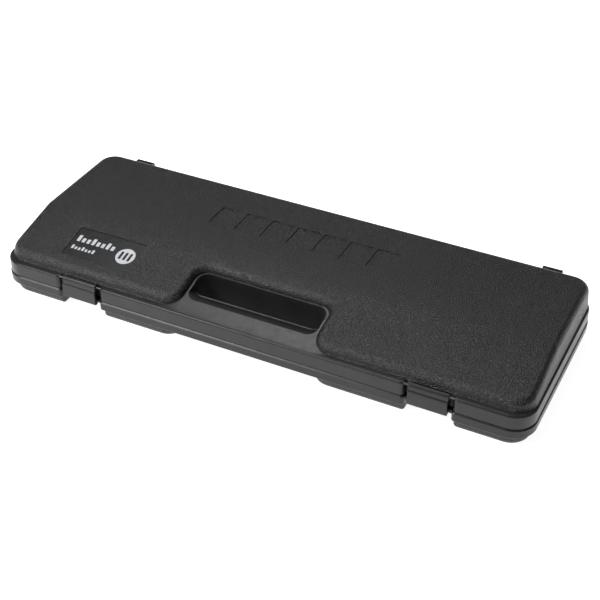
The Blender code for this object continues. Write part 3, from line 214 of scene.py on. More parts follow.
# Print on the badge, in shares of its width and depth: rows of (strokes, foot, height, pitch)
PRINT_ROWS = ((8, 0.52, 0.22, 0.074), (7, 0.24, 0.13, 0.052))
PRINT_MARGIN = 0.06
LOW_STROKE = 0.68
STROKE_SHARE = 0.62
STROKE_RADIUS = 0.0005
MARK_PLACE = (0.83, 0.47)
MARK_RADIUS = 0.27
NEARLY_ROUND = 0.999
MARK_KEY = (0.14, 0.5)
MARK_KEY_PITCH = 0.5
MARK_KEY_RADIUS = 0.0004

# Pieces whose shape the model gives: their seams, their flat faces and their broken edges
WELD = 0.000002
FLAT_ANGLE = math.radians(0.6)
BEVEL_ANGLE = math.radians(35)
BEVEL_SEGMENTS = 2
BEVEL = 0.0003
BEVELS = {"key_white": 0.0004, "key_black": 0.0005, "badge_foil": 0.0001, "pin_steel": 0.00015}
UNBEVELLED = {"reed_plate", "spring_comb", "drain_spring", "pallet_plate"}

# Camera, fitted to the case's outline
AZIMUTH = math.radians(26.26)
ELEVATION = math.radians(36.59)
DISTANCE = 1.06028
TARGET = Vector((0.01263, -0.0120, PARTING))
LENS = 75.09

# Light from behind and above, and from the front left, over a floor that shines a little
WORLD_STRENGTH = 0.13
LIGHTS = (
    ("above", (-0.42, 0.47, 1.40), (1.0, 0.50), 8.8),
    ("front_left", (-0.72, -0.88, 1.02), (0.65, 0.65), 15),
)
LIGHT_AIM = Vector((0, 0, 0.03))
FLOOR_REACH = 20
FLOOR_GAP = 0.0001


# Stage


def add(name, data):
    """A new object in the scene."""
    obj = bpy.data.objects.new(name, data)
    bpy.context.scene.collection.objects.link(obj)
    return obj


def make_camera():
    """The camera, aimed at the case from its front right."""
    camera = add("camera", bpy.data.cameras.new("camera"))
    camera.data.lens = LENS
    camera.data.sensor_width = 36
    camera.data.clip_end = 3 * FLOOR_REACH
    flat = math.cos(ELEVATION)
    back = Vector((math.sin(AZIMUTH) * flat, -math.cos(AZIMUTH) * flat, math.sin(ELEVATION)))
    turn = back.to_track_quat("Z", "Y").to_matrix().to_4x4()
    camera.matrix_world = Matrix.Translation(TARGET + back * DISTANCE) @ turn
    bpy.context.scene.camera = camera


def make_light(name, place, size, power):
    """A rectangular lamp aimed at the case."""
    light = add(name, bpy.data.lights.new(name, "AREA"))
    light.data.shape = "RECTANGLE"
    light.data.size, light.data.size_y = size
    light.data.energy = power
    place = Vector(place)
    turn = (place - LIGHT_AIM).to_track_quat("Z", "Y").to_matrix().to_4x4()
    light.matrix_world = Matrix.Translation(place) @ turn


def make_stage():
    """World, lamps and floor."""
    world = bpy.data.worlds.new("studio")
    world.use_nodes = True
    background = world.node_tree.nodes["Background"]
    background.inputs["Color"].default_value = (1.0, 1.0, 1.0, 1.0)
    background.inputs["Strength"].default_value = WORLD_STRENGTH
    bpy.context.scene.world = world
    bpy.context.scene.view_settings.view_transform = "Standard"
    for light in LIGHTS:
        make_light(*light)
    bm = bmesh.new()
    bmesh.ops.create_grid(bm, x_segments=8, y_segments=8, size=FLOOR_REACH)
    mesh = bpy.data.meshes.new("floor")
    bm.to_mesh(mesh)
    bm.free()
    floor = add("floor", mesh)
    floor.location.z = -FLOOR_GAP
    mesh.materials.append(floor_finish())


# Materials


class Nodes:
    """Short ways to add nodes to one material."""

    def __init__(self, name):
        """Starts a material that is placed by the object's own coordinates."""
        self.material = bpy.data.materials.new(name)
        self.material.use_nodes = True
        self.tree = self.material.node_tree
        self.shader = self.tree.nodes["Principled BSDF"]
        self.place = self.add("ShaderNodeTexCoord").outputs["Object"]

    def add(self, kind, **values):
        """A new node with its settings."""
        node = self.tree.nodes.new(kind)
        for key, value in values.items():
            setattr(node, key, value)
        return node

    def join(self, source, target):
        """Links an output to an input."""
        self.tree.links.new(source, target)

    def set(self, **values):
        """Sets inputs of the shader. An underscore stands for a space."""
        for key, value in values.items():
            self.shader.inputs[key.replace("_", " ")].default_value = value

    def noise(self, scale, detail=2.0, roughness=0.5, stretch=None):
        """Cloudy noise, drawn out along the axes where stretch is small."""
        node = self.add("ShaderNodeTexNoise")
        node.inputs["Scale"].default_value = scale
        node.inputs["Detail"].default_value = detail
        node.inputs["Roughness"].default_value = roughness
        source = self.place
        if stretch is not None:
            mapping = self.add("ShaderNodeMapping")
            mapping.inputs["Scale"].default_value = stretch
            self.join(self.place, mapping.inputs["Vector"])
            source = mapping.outputs["Vector"]
        self.join(source, node.inputs["Vector"])
        return node.outputs["Fac"]

    def cells(self, scale, smoothness):
        """Soft cells, as in leather."""
        node = self.add("ShaderNodeTexVoronoi", feature="SMOOTH_F1")
        node.inputs["Scale"].default_value = scale
        node.inputs["Smoothness"].default_value = smoothness
        self.join(self.place, node.inputs["Vector"])
        return node.outputs["Distance"]

    def ramp(self, source, low, high, start=0.3, end=0.7):
        """source, taken from between start and end to between low and high."""
        node = self.add("ShaderNodeMapRange")
        for key, value in (("From Min", start), ("From Max", end), ("To Min", low), ("To Max", high)):
            node.inputs[key].default_value = value
        self.join(source, node.inputs["Value"])
        return node.outputs["Result"]

    def colours(self, source, dark, light, start=0.3, end=0.7):
        """Base colour from dark to light along source."""
        node = self.add("ShaderNodeValToRGB")
        node.color_ramp.elements[0].position = start
        node.color_ramp.elements[1].position = end
        node.color_ramp.elements[0].color = (*dark, 1.0)
        node.color_ramp.elements[1].color = (*light, 1.0)
        self.join(source, node.inputs["Fac"])
        self.join(node.outputs["Color"], self.shader.inputs["Base Color"])

    def bump(self, source, distance, strength=1.0, under=None):
        """Relief of source, on top of the relief under it."""
        node = self.add("ShaderNodeBump")
        node.inputs["Distance"].default_value = distance
        node.inputs["Strength"].default_value = strength
        self.join(source, node.inputs["Height"])
        if under is not None:
            self.join(under, node.inputs["Normal"])
        self.join(node.outputs["Normal"], self.shader.inputs["Normal"])
        return node.outputs["Normal"]

    def roughness(self, source, low, high, start=0.3, end=0.7):
        """Roughness from low to high along source."""
        self.join(self.ramp(source, low, high, start, end), self.shader.inputs["Roughness"])


def grey(value):
    """A neutral colour."""
    return (value, value, value)


def floor_finish():
    """A pale floor that is also lit from within, so that it stays bright."""
    made = Nodes("pale_floor")
    made.colours(made.noise(scale=3.0), dark=grey(0.93), light=grey(0.96))
    made.set(Roughness=0.9, Specular_IOR_Level=0.1, Emission_Strength=0.90)
    made.shader.inputs["Emission Color"].default_value = (*grey(1.0), 1.0)
    return made.material


def grained_plastic():
    """Moulded pebble grain over a slightly uneven face. The colour follows the grain's height: painted shade in
    its hollows and painted highlight on its crests.
    """
    made = Nodes("grained_black_plastic")
    grain = made.noise(scale=1000, detail=1.0)
    # Painted shade and highlight: the colour is darker in the grain's hollows and lighter on its crests.
    made.colours(grain, dark=grey(0.0015), light=(0.038, 0.038, 0.037), start=0.44, end=0.64)
    made.roughness(made.noise(scale=60), low=0.33, high=0.38)
    soft = made.bump(made.noise(scale=14, detail=1.0), distance=0.0002, strength=0.3)
    made.bump(grain, distance=0.0007, under=soft)
    made.set(Specular_IOR_Level=0.5)
    return made.material


def smooth_plastic(name, dark, light):
    """Satin plastic with cloudy gloss and a very fine texture."""
    made = Nodes(name)
    made.colours(made.noise(scale=45, detail=3.0), dark=grey(dark), light=grey(light))
    made.roughness(made.noise(scale=140, detail=4.0, roughness=0.65), low=0.26, high=0.36)
    made.bump(made.noise(scale=2600), distance=0.00002, strength=0.5)
    made.set(Specular_IOR_Level=0.34)
    return made.material


def shaded_matt_plastic():
    """The dull inside of the case, darker by painted shade: a darker copy of the black plastic for the walls of
    the slot and the hollows, where shade falls.
    """
    made = Nodes("inner_plastic_painted_shade")
    # Painted shade: darker than the smooth plastic outside, for walls that lie in shade.
    made.colours(made.noise(scale=45, detail=3.0), dark=grey(0.009), light=grey(0.014))
    made.roughness(made.noise(scale=140, detail=4.0, roughness=0.65), low=0.6, high=0.75)
    made.bump(made.noise(scale=1100), distance=0.0001, strength=0.5)
    made.set(Specular_IOR_Level=0.12)
    return made.material


def gloss_plastic(name, dark, light, rough=(0.16, 0.24)):
    """Polished plastic under a thin clear gloss."""
    made = Nodes(name)
    made.colours(made.noise(scale=30, detail=3.0), dark, light)
    made.roughness(made.noise(scale=180, detail=4.0, roughness=0.6), *rough)
    made.bump(made.noise(scale=900), distance=0.00001, strength=0.4)
    made.set(Coat_Weight=0.15, Coat_Roughness=0.12)
    return made.material


def metal(name, dark, light, rough, stretch):
    """Metal with fine drawing lines along the axis where stretch is small."""
    made = Nodes(name)
    lines = made.noise(scale=500, detail=4.0, roughness=0.6, stretch=stretch)
    made.colours(lines, dark, light)
    made.roughness(lines, *rough)
    made.bump(lines, distance=0.00001, strength=0.5)
    made.set(Metallic=1.0)
    return made.material


def felt():
    """Red felt with a soft fuzz."""
    made = Nodes("stop_felt")
    fuzz = made.noise(scale=2400, detail=5.0, roughness=0.75)
    made.colours(fuzz, dark=(0.16, 0.018, 0.022), light=(0.34, 0.05, 0.06))
    made.bump(fuzz, distance=0.0003, strength=0.9)
    made.set(Roughness=0.95, Sheen_Weight=0.6, Sheen_Roughness=0.4)
    return made.material


def vinyl():
    """Black vinyl with a leathery grain."""
    made = Nodes("strap_vinyl")
    leather = made.cells(scale=1500, smoothness=0.6)
    made.colours(leather, dark=grey(0.014), light=grey(0.03), start=0.0, end=0.6)
    made.roughness(made.noise(scale=200), low=0.45, high=0.6)
    made.bump(leather, distance=0.0002, strength=0.7)
    return made.material


def printed_ink():
    """Pale ink with a slight mottle."""
    made = Nodes("badge_print")
    made.colours(made.noise(scale=700, detail=3.0), dark=(0.52, 0.54, 0.58), light=(0.68, 0.70, 0.74))
    made.roughness(made.noise(scale=300), low=0.4, high=0.5)
    made.bump(made.noise(scale=2500), distance=0.00001, strength=0.4)
    return made.material


GRAINED = grained_plastic()
SMOOTH = smooth_plastic("smooth_black_plastic", 0.016, 0.022)
SHADED_INNER = shaded_matt_plastic()
BADGE_FOIL = smooth_plastic("badge_foil", 0.006, 0.010)
INK = printed_ink()
HOUSING = gloss_plastic("housing_black", (0.008, 0.008, 0.009), (0.013, 0.013, 0.014))
IVORY = gloss_plastic("key_white", (0.78, 0.77, 0.73), (0.84, 0.83, 0.79))
EBONY = gloss_plastic("key_black", grey(0.007), grey(0.012), rough=(0.2, 0.3))
CREAM = gloss_plastic("mouthpiece_cream", (0.72, 0.70, 0.64), (0.80, 0.78, 0.72))
CHEST = smooth_plastic("chest_grey", 0.26, 0.32)
STEEL = metal(
    "pin_steel", (0.060, 0.060, 0.064), (0.110, 0.110, 0.116), rough=(0.34, 0.50), stretch=(0.05, 1.0, 1.0)
)
BRASS = metal(
    "reed_brass", (0.60, 0.44, 0.18), (0.78, 0.60, 0.28), rough=(0.25, 0.42), stretch=(0.08, 1.0, 1.0)
)
FELT = felt()
VINYL = vinyl()


# Shapes


def rounded_outline(corners, inset=0.0, steps=ARC_STEPS):
    """Points of an anticlockwise outline with corners (x, y, radius), moved inwards by inset."""
    points = []
    for index, (x, y, radius) in enumerate(corners):
        here = Vector((x, y))
        before = (here - Vector(corners[index - 1][:2])).normalized()
        after = (Vector(corners[(index + 1) % len(corners)][:2]) - here).normalized()
        turn = before.x * after.y - before.y * after.x
        inward = Vector((-before.y, before.x))
        if abs(turn) < STRAIGHT:
            points.append(here + inward * inset)
            continue
        halfway = (inward + Vector((-after.y, after.x))).normalized()
        across = halfway.dot(inward)
        corner = here + halfway * (inset / across)
        if radius == 0.0:
            points.append(corner)
            continue
        side = 1.0 if turn > 0 else -1.0
        reach = max(radius - side * inset, LEAST_RADIUS)
        centre = corner + halfway * (side * reach / across)
        angle = math.atan2(turn, before.dot(after))
        start = inward * (-side * reach)
        for step in range(steps + 1):
            bend = angle * step / steps
            cosine, sine = math.cos(bend), math.sin(bend)
            spoke = Vector((start.x * cosine - start.y * sine, start.x * sine + start.y * cosine))
            points.append(centre + spoke)
    return points


def box_corners(x0, x1, y0, y1, radius):
    """Corners of a rectangle, for rounded_outline."""
    return [(x0, y0, radius), (x1, y0, radius), (x1, y1, radius), (x0, y1, radius)]


def mesh_object(name, bm):
    """A new object from bm, which is used up. Its faces point outwards."""
    bmesh.ops.recalc_face_normals(bm, faces=bm.faces)
    mesh = bpy.data.meshes.new(name)
    bm.to_mesh(mesh)
    bm.free()
    return add(name, mesh)


def lofted(name, rings, split=None):
    """A closed solid through rings of points, lowest first. split is a y where the top is creased."""
    bm = bmesh.new()
    rows = [[bm.verts.new(point) for point in ring] for ring in rings]
    count = len(rows[0])
    for lower, upper in zip(rows, rows[1:]):
        for i in range(count):
            j = (i + 1) % count
            bm.faces.new((lower[i], lower[j], upper[j], upper[i]))
    bm.faces.new(rows[0][::-1])
    top = rows[-1]
    if split is None:
        bm.faces.new(top)
    else:
        right, left = [i for i in range(count) if abs(top[i].co.y - split) < SLIVER]
        bm.faces.new(top[right:left + 1])
        bm.faces.new(top[left:] + top[:right + 1])
    return mesh_object(name, bm)


def stacked(name, corners, levels):
    """A solid of one outline, at levels (inset, z) from the lowest up."""
    return lofted(name, [[(p.x, p.y, z) for p in rounded_outline(corners, inset)] for inset, z in levels])


def block(name, low, high):
    """A box between two opposite corners."""
    bm = bmesh.new()
    bmesh.ops.create_cube(bm, size=1.0)
    bmesh.ops.scale(bm, vec=Vector(high) - Vector(low), verts=bm.verts)
    bmesh.ops.translate(bm, vec=(Vector(high) + Vector(low)) / 2, verts=bm.verts)
    return mesh_object(name, bm)


def rod_along_x(name, x0, x1, y, z, radius):
    """A round rod from x0 to x1, with its axis at (y, z)."""
    bm = bmesh.new()
    bmesh.ops.create_cone(
        bm, cap_ends=True, segments=ROD_SIDES, radius1=radius, radius2=radius, depth=x1 - x0
    )
    bmesh.ops.rotate(bm, matrix=Matrix.Rotation(math.radians(90), 3, "Y"), verts=bm.verts)
    bmesh.ops.translate(bm, vec=((x0 + x1) / 2, y, z), verts=bm.verts)
    return mesh_object(name, bm)


def profile_along_x(name, profile, x0, x1):
    """A solid with the profile (y, z) from x0 to x1."""
    bm = bmesh.new()
    near = bm.faces.new([bm.verts.new((x0, y, z)) for y, z in profile])
    grown = bmesh.ops.extrude_face_region(bm, geom=[near])["geom"]
    far = [part for part in grown if isinstance(part, bmesh.types.BMVert)]
    bmesh.ops.translate(bm, vec=(x1 - x0, 0, 0), verts=far)
    return mesh_object(name, bm)


def combined(target, steps):
    """target with each (tool, operation) applied in turn. The tools are used up."""
    for tool, operation in steps:
        modifier = target.modifiers.new(tool.name, "BOOLEAN")
        modifier.operation = operation
        modifier.solver = "EXACT"
        modifier.object = tool
    result = evaluated_mesh(target)
    target.modifiers.clear()
    target.data = result
    for tool, _ in steps:
        bpy.data.objects.remove(tool)
    return target


def evaluated_mesh(obj):
    """A mesh of obj with its modifiers applied."""
    bpy.context.view_layer.update()
    graph = bpy.context.evaluated_depsgraph_get()
    return bpy.data.meshes.new_from_object(obj.evaluated_get(graph))


def soften(obj, angle=32):
    """Drops slivers, shades round stretches smooth and keeps flat faces flat."""
    bm = bmesh.new()
    bm.from_mesh(obj.data)
    bmesh.ops.dissolve_degenerate(bm, dist=SLIVER, edges=bm.edges)
    bm.to_mesh(obj.data)
    bm.free()
    obj.data.shade_smooth()
    obj.data.set_sharp_from_angle(angle=math.radians(angle))
    normals = obj.modifiers.new("even_shading", "WEIGHTED_NORMAL")
    normals.keep_sharp = True
    return obj


def quarter(radius, steps=EDGE_STEPS):
    """(inset, rise) along a quarter round, from its foot to its top."""
    angles = [math.radians(90) * step / steps for step in range(steps + 1)]
    return [(radius * (1 - math.cos(a)), radius * math.sin(a)) for a in angles]


def top_height(y):
    """Height of the lid's panel, which slopes down to the front from its crease."""
    return LID_TOP - TOP_SLOPE * max(0.0, CREASE_Y - y)


def slanted(name, corners, bottom, below_top):
    """A solid from the height that bottom gives for a y up to a depth below the lid's face."""
    outline = rounded_outline(corners)
    floor = [(p.x, p.y, bottom(p.y)) for p in outline]
    roof = [(p.x, p.y, top_height(p.y) - below_top) for p in outline]
    return lofted(name, [floor, roof])


# Case


def rim_corners(notch_depth, mouth_radius):
    """Outline of a rim, with a notch for each latch."""
    y0, y1 = RIM_FRONT, RIM_BACK
    corners = [(-HALF_LENGTH, y0, RIM_RADIUS)]
    for centre in (-LATCH_X, LATCH_X):
        left, right = centre - LATCH_NOTCH_WIDTH / 2, centre + LATCH_NOTCH_WIDTH / 2
        corners += [(left, y0, mouth_radius), (left, y0 + notch_depth, LATCH_NOTCH_CORNER)]
        corners += [(right, y0 + notch_depth, LATCH_NOTCH_CORNER), (right, y0, mouth_radius)]
    corners += [(HALF_LENGTH, y0, RIM_RADIUS), (HALF_LENGTH, y1, RIM_RADIUS), (-HALF_LENGTH, y1, RIM_RADIUS)]
    return corners


def handle_notch(front, ledge):
    """Corners of the way round the finger slot, from the front on its left to the front on its right."""
    left, right = HANDLE_X - SLOT_LENGTH / 2 - ledge, HANDLE_X + SLOT_LENGTH / 2 + ledge
    back, radius = SLOT_BACK + ledge, SLOT_RADIUS + ledge
    return [
        (left, front, LOBE_RADIUS), (left, back, radius),
        (right, back, radius), (right, front, LOBE_RADIUS),
    ]


def lid_rim():
    """The lid's smooth rim, with a fine lip along the parting line."""
    low, high = PARTING + PARTING_GAP, LID_RIM_TOP - RIM_EDGE
    levels = [(LID_RIM_DRAFT + inset, low + rise) for inset, rise in LID_RIM_FOOT]
    levels += [(LID_RIM_DRAFT + inset, high + rise) for inset, rise in quarter(RIM_EDGE)]
    return stacked("lid_shell", rim_corners(LID_NOTCH_DEPTH, LID_NOTCH_MOUTH), levels)


def lid_panel():
    """The grained part of the lid, which goes round the handle and follows the slope in front."""
    front = RIM_FRONT + LID_BODY_FRONT
    side = HALF_LENGTH - LID_BODY_SIDE
    back = RIM_BACK - LID_BODY_SIDE
    radius = LID_BODY_RADIUS
    corners = [(-side, front, radius), *handle_notch(front, LID_NOTCH_LEDGE), (side, front, radius)]
    corners += [(side, CREASE_Y, 0.0), (side, back, radius), (-side, back, radius), (-side, CREASE_Y, 0.0)]
    foot = LID_RIM_TOP
    rings = [[(p.x, p.y, foot - PANEL_SINK) for p in rounded_outline(corners)]]
    rings += [[(p.x, p.y, foot) for p in rounded_outline(corners)]]
    for inset, rise in quarter(LID_EDGE):
        ring = []
        for p in rounded_outline(corners, LID_DRAFT + inset):
            top = top_height(p.y)
            drop = min(LID_EDGE, LID_EDGE_SHARE * (top - foot))
            ring.append((p.x, p.y, top - drop * (1 - rise / LID_EDGE)))
        rings.append(ring)
    return lofted("lid_panel", rings, split=CREASE_Y)


def grip_height(x, y):
    """Height of the recess around the handle. At its ends it starts further from the rim's edge."""
    past_slot = (abs(x - HANDLE_X) - SLOT_LENGTH / 2 - GRIP_FADE_START) / GRIP_FADE
    fade = min(max(past_slot, 0.0), 1.0)
    fade = fade * fade * (3 - 2 * fade)
    start = RIM_FRONT + GRIP_INSET + (LID_BODY_FRONT - GRIP_INSET + GRIP_BLEND) * fade
    slope = GRIP_BACK_RISE / (SLOT_BACK - start)
    past = y - start
    return LID_RIM_TOP + slope * (past + math.hypot(past, GRIP_BLEND)) / 2


def grip():
    """The recess's floor, from the rim's front edge up to the back of the slot."""
    reach = SLOT_LENGTH / 2 + LOBE_RADIUS + LID_BODY_FRONT
    front, back = RIM_FRONT + GRIP_FRONT, SLOT_BACK + LID_EDGE
    xs = [HANDLE_X + reach * (2 * step / GRIP_COLUMNS - 1) for step in range(GRIP_COLUMNS + 1)]
    ys = [front + (back - front) * (step / GRIP_ROWS) ** 2 for step in range(GRIP_ROWS + 1)]
    bm = bmesh.new()
    rows = [[bm.verts.new((x, y, grip_height(x, y))) for x in xs] for y in ys]
    for near, far in zip(rows, rows[1:]):
        for i in range(GRIP_COLUMNS):
            bm.faces.new((near[i], near[i + 1], far[i + 1], far[i]))
    right_side, left_side = [row[-1] for row in rows[1:-1]], [row[0] for row in rows[-2:0:-1]]
    around = rows[0] + right_side + rows[-1][::-1] + left_side
    below = [bm.verts.new((v.co.x, v.co.y, LID_RIM_TOP - PANEL_SINK)) for v in around]
    for i in range(len(around)):
        j = (i + 1) % len(around)
        bm.faces.new((below[i], below[j], around[j], around[i]))
    bm.faces.new(below[::-1])
    return mesh_object("grip", bm)


def slot_corners(roll=0.0):
    """Outline of the finger slot, with its front edge moved forwards by roll."""
    x0, x1 = HANDLE_X - SLOT_LENGTH / 2, HANDLE_X + SLOT_LENGTH / 2
    return box_corners(x0, x1, SLOT_FRONT - roll, SLOT_BACK, SLOT_RADIUS)


def on_grip(name, levels):
    """A solid of the slot's outline at levels (inset, height above the recess's floor)."""
    rings = [
        [(p.x, p.y, grip_height(p.x, p.y) + rise) for p in rounded_outline(slot_corners(), inset)]
        for inset, rise in levels
    ]
    return lofted(name, rings)


def slot_lip():
    """A fine rounded lip around the slot, on the recess's floor."""
    levels = [(-SLOT_LIP, -OVERLAP), (-SLOT_LIP, 0.0)]
    levels += [(inset - SLOT_LIP, rise) for inset, rise in quarter(SLOT_LIP_ROUND, SLOT_LIP_STEPS)]
    return on_grip("slot_lip", levels)


def grip_roll():
    """Cutter for the roll of the grip's upper edge down into the slot."""
    crest = grip_height(HANDLE_X, SLOT_FRONT - GRIP_ROLL)
    rings = []
    for step in range(ARC_STEPS + 1):
        share = step / ARC_STEPS
        z = crest - (crest - GRIP_FOOT) * (1 - share) ** 2
        rings.append([(p.x, p.y, z) for p in rounded_outline(slot_corners(GRIP_ROLL * share))])
    rings.append([(x, y, LID_TOP) for x, y, z in rings[-1]])
    return lofted("grip_roll", rings)


def grip_bead():
    """A fine bead where the roll ends in the slot. Behind and beside the slot it is inside the lid."""
    levels = [(-SLOT_BEAD, GRIP_FOOT - 2 * OVERLAP), (-SLOT_BEAD, GRIP_FOOT)]
    round_top = quarter(SLOT_BEAD_ROUND, SLOT_BEAD_STEPS)
    levels += [(inset - SLOT_BEAD, GRIP_FOOT + rise) for inset, rise in round_top]
    return stacked("grip_bead", slot_corners(), levels)


def slot_in_base():
    """Cutter for the slot through the base, which widens a little at the rim's lower edge."""
    levels = [(-SLOT_LIP, BASE_RIM_LOW - OVERLAP), (-SLOT_LIP, BASE_RIM_LOW)]
    round_edge = quarter(SLOT_LIP, SLOT_LIP_STEPS)
    levels += [(-SLOT_LIP + rise, BASE_RIM_LOW + inset) for inset, rise in round_edge]
    return stacked("slot_in_base", slot_corners(), levels + [(0.0, PARTING + OVERLAP)])


def lid_well():
    """Cutter for the room over the instrument. It gets narrower towards the lid's ceiling."""
    rings = []
    for z, lean, shrink in LID_WELL_LEVELS:
        corners = box_corners(
            -WELL_HALF_LENGTH + shrink, WELL_HALF_LENGTH - shrink,
            WELL_FRONT + lean, WELL_BACK - shrink, WELL_RADIUS,
        )
        rings.append([(p.x, p.y, z) for p in rounded_outline(corners)])
    return lofted("lid_well", rings)


def end_pocket(name, side, outer, low, high):
    """Cutter for the pocket past an end of the well."""
    x0, x1 = sorted((side * POCKET_INNER, side * outer))
    corners = box_corners(x0, x1, POCKET_FRONT, POCKET_BACK, POCKET_RADIUS)
    return stacked(name, corners, [(0.0, low), (0.0, high)])


def badge_recess():
    """Cutter for the badge's recess, which is steep at the back and chamfered in front."""
    rings = []
    for rise, chamfer in BADGE_RECESS_LEVELS:
        corners = box_corners(
            BADGE_LOW.x - BADGE_MARGIN, BADGE_HIGH.x + BADGE_MARGIN,
            BADGE_LOW.y - BADGE_MARGIN - chamfer, BADGE_HIGH.y + BADGE_MARGIN, BADGE_RADIUS,
        )
        rings.append([(p.x, p.y, top_height(p.y) + rise) for p in rounded_outline(corners)])
    return lofted("badge_recess", rings)


def relief():
    """Shallow bars like the fronts of piano keys, each with rounded corners and a sloped edge."""
    made = []
    y0, y1 = RELIEF_Y - RELIEF_DEPTH / 2, RELIEF_Y + RELIEF_DEPTH / 2
    for number in range(RELIEF_BARS):
        x = (number - (RELIEF_BARS - 1) / 2) * RELIEF_PITCH + RELIEF_X
        corners = box_corners(x - RELIEF_BAR / 2, x + RELIEF_BAR / 2, y0, y1, RELIEF_RADIUS)
        levels = [(RELIEF_LEAN, LID_TOP - RELIEF_CUT), (0.0, LID_TOP), (0.0, LID_TOP + OVERLAP)]
        made.append(stacked(f"relief_{number}", corners, levels))
    return made


def lid_hinge_parts(tag, centre):
    """A tall ear behind the lid, with a web to the knuckle between the base's two."""
    ear = [(EAR_ROOT, EAR_LOW), (EAR_OUT - EAR_FOOT_RADIUS, EAR_LOW)]
    ear += [(EAR_OUT - i, EAR_LOW + EAR_FOOT_RADIUS - r) for i, r in quarter(EAR_FOOT_RADIUS)][::-1]
    ear += [(EAR_OUT - i, EAR_HIGH - EAR_TOP_RADIUS + r) for i, r in quarter(EAR_TOP_RADIUS)]
    ear += [(EAR_ROOT, EAR_HIGH)]
    x0, x1 = centre - LID_KNUCKLE_HALF, centre + LID_KNUCKLE_HALF
    return [
        profile_along_x("ear_" + tag, ear, centre - EAR_HALF, centre + EAR_HALF),
        profile_along_x("lid_web_" + tag, LID_WEB, x0, x1),
        rod_along_x("lid_knuckle_" + tag, x0, x1, HINGE.y, HINGE.z, KNUCKLE_RADIUS),
    ]


def base_hinge_parts(tag, centre):
    """Two knuckles behind the base, each on its web."""
    made = []
    for side in (-1, 1):
        x0, x1 = sorted(centre + side * reach for reach in BASE_KNUCKLE)
        made.append(profile_along_x(f"base_web_{tag}_{side}", BASE_WEB, x0, x1))
        made.append(rod_along_x(f"base_knuckle_{tag}_{side}", x0, x1, HINGE.y, HINGE.z, KNUCKLE_RADIUS))
    return made


def hinge_tools(parts):
    """What the hinges add to a half of the case, then what their pins take away."""
    adds, cuts = [], []
    for tag, centre in (("left", -HINGE_X), ("right", HINGE_X)):
        adds += parts(tag, centre)
        low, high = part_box("hinge_pin_" + tag)
        radius = (high.z - low.z) / 2 + PIN_CLEARANCE
        x0, x1 = centre - HINGE_BORE_HALF, centre + HINGE_BORE_HALF
        cuts.append(rod_along_x("hinge_bore_" + tag, x0, x1, HINGE.y, HINGE.z, radius))
    return [(tool, "UNION") for tool in adds] + [(tool, "DIFFERENCE") for tool in cuts]


def paint(obj, skins, pick=None):
    """Gives obj its materials, and each face the one that pick says."""
    obj.data.materials.clear()
    for skin in skins:
        obj.data.materials.append(skin)
    for face in obj.data.polygons:
        face.material_index = skins.index(pick(face)) if pick else 0


def latch_bore(tag, side):
    """Cutter for the bore of a latch's pin."""
    low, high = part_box("latch_pin_" + tag)
    reach = (high.x - low.x) / 2 + LATCH_BORE_SPARE
    radius = (high.z - low.z) / 2 + PIN_CLEARANCE
    x = side * LATCH_X
    return rod_along_x("latch_bore_" + tag, x - reach, x + reach, LATCH_AXIS.y, LATCH_AXIS.z, radius)


def make_lid():
    """The lid with its recess, relief, hollows and hinges."""
    slot = stacked("slot_in_lid", slot_corners(), [(0.0, PARTING - OVERLAP), (0.0, LID_TOP)])
    cuts = [slot, lid_well()]
    for number, (left, right) in enumerate(TRAYS):
        corners = box_corners(left, right, LID_TRAY_FRONT, TRAY_BACK, TRAY_RADIUS)
        cuts.append(slanted(f"lid_tray_{number}", corners, lambda y: PARTING - OVERLAP, LID_WALL))
    for tag, side in (("left", -1), ("right", 1)):
        pocket = end_pocket("lid_pocket_" + tag, side, POCKET_OUTER_LID, PARTING - OVERLAP, LID_POCKET_TOP)
        cuts += [pocket, latch_bore(tag, side)]
    cuts += [badge_recess(), *relief()]
    steps = [(lid_panel(), "UNION"), (grip(), "UNION"), (slot_lip(), "UNION")]
    steps += [(grip_roll(), "DIFFERENCE"), (grip_bead(), "UNION")]
    steps += hinge_tools(lid_hinge_parts) + [(tool, "DIFFERENCE") for tool in cuts]
    lid = combined(lid_rim(), steps)

    def skin(face):
        """Matt, with painted shade, in the slot and the hollows, grained outside, smooth on the rim and round the
        handle.
        """
        centre = face.center
        if in_slot(face):
            return SHADED_INNER
        inside = abs(centre.x) < POCKET_OUTER_LID and centre.z < top_height(centre.y) - DEEPEST_MARK
        if inside and face.normal.z <= NOT_UPWARDS and within_hollows(centre):
            return SHADED_INNER
        outward = centre.z > LID_RIM_TOP + SKIN_SLACK / 2 and centre.y < RIM_BACK
        smooth = around_handle(centre) or on_badge_chamfer(centre)
        return GRAINED if outward and not smooth else SMOOTH

    paint(lid, (GRAINED, SMOOTH, SHADED_INNER), skin)
    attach(soften(lid), "lid")
    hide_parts("case_lid")


def around_handle(point):
    """Is point on the smooth recess around the handle, or in the slot?"""
    reach = SLOT_LENGTH / 2 + LOBE_RADIUS + LID_BODY_FRONT
    near = abs(point.x - HANDLE_X) < reach and point.y < SLOT_BACK + LID_NOTCH_LEDGE
    return near and point.z < grip_height(point.x, point.y) + SLOT_LIP


def on_badge_chamfer(point):
    """Is point on the chamfer in front of the badge?"""
    near = BADGE_LOW.x < point.x < BADGE_HIGH.x and BADGE_LOW.y - CHAMFER_REACH < point.y < BADGE_LOW.y
    return near and point.z < top_height(point.y) - SKIN_SLACK


def in_slot(face):
    """Is face on the upright wall of the finger slot?"""
    near = abs(face.center.x - HANDLE_X) < SLOT_LENGTH / 2 + SKIN_SLACK
    near = near and SLOT_FRONT - SKIN_SLACK < face.center.y < SLOT_BACK + SKIN_SLACK
    return near and abs(face.normal.z) < UPRIGHT


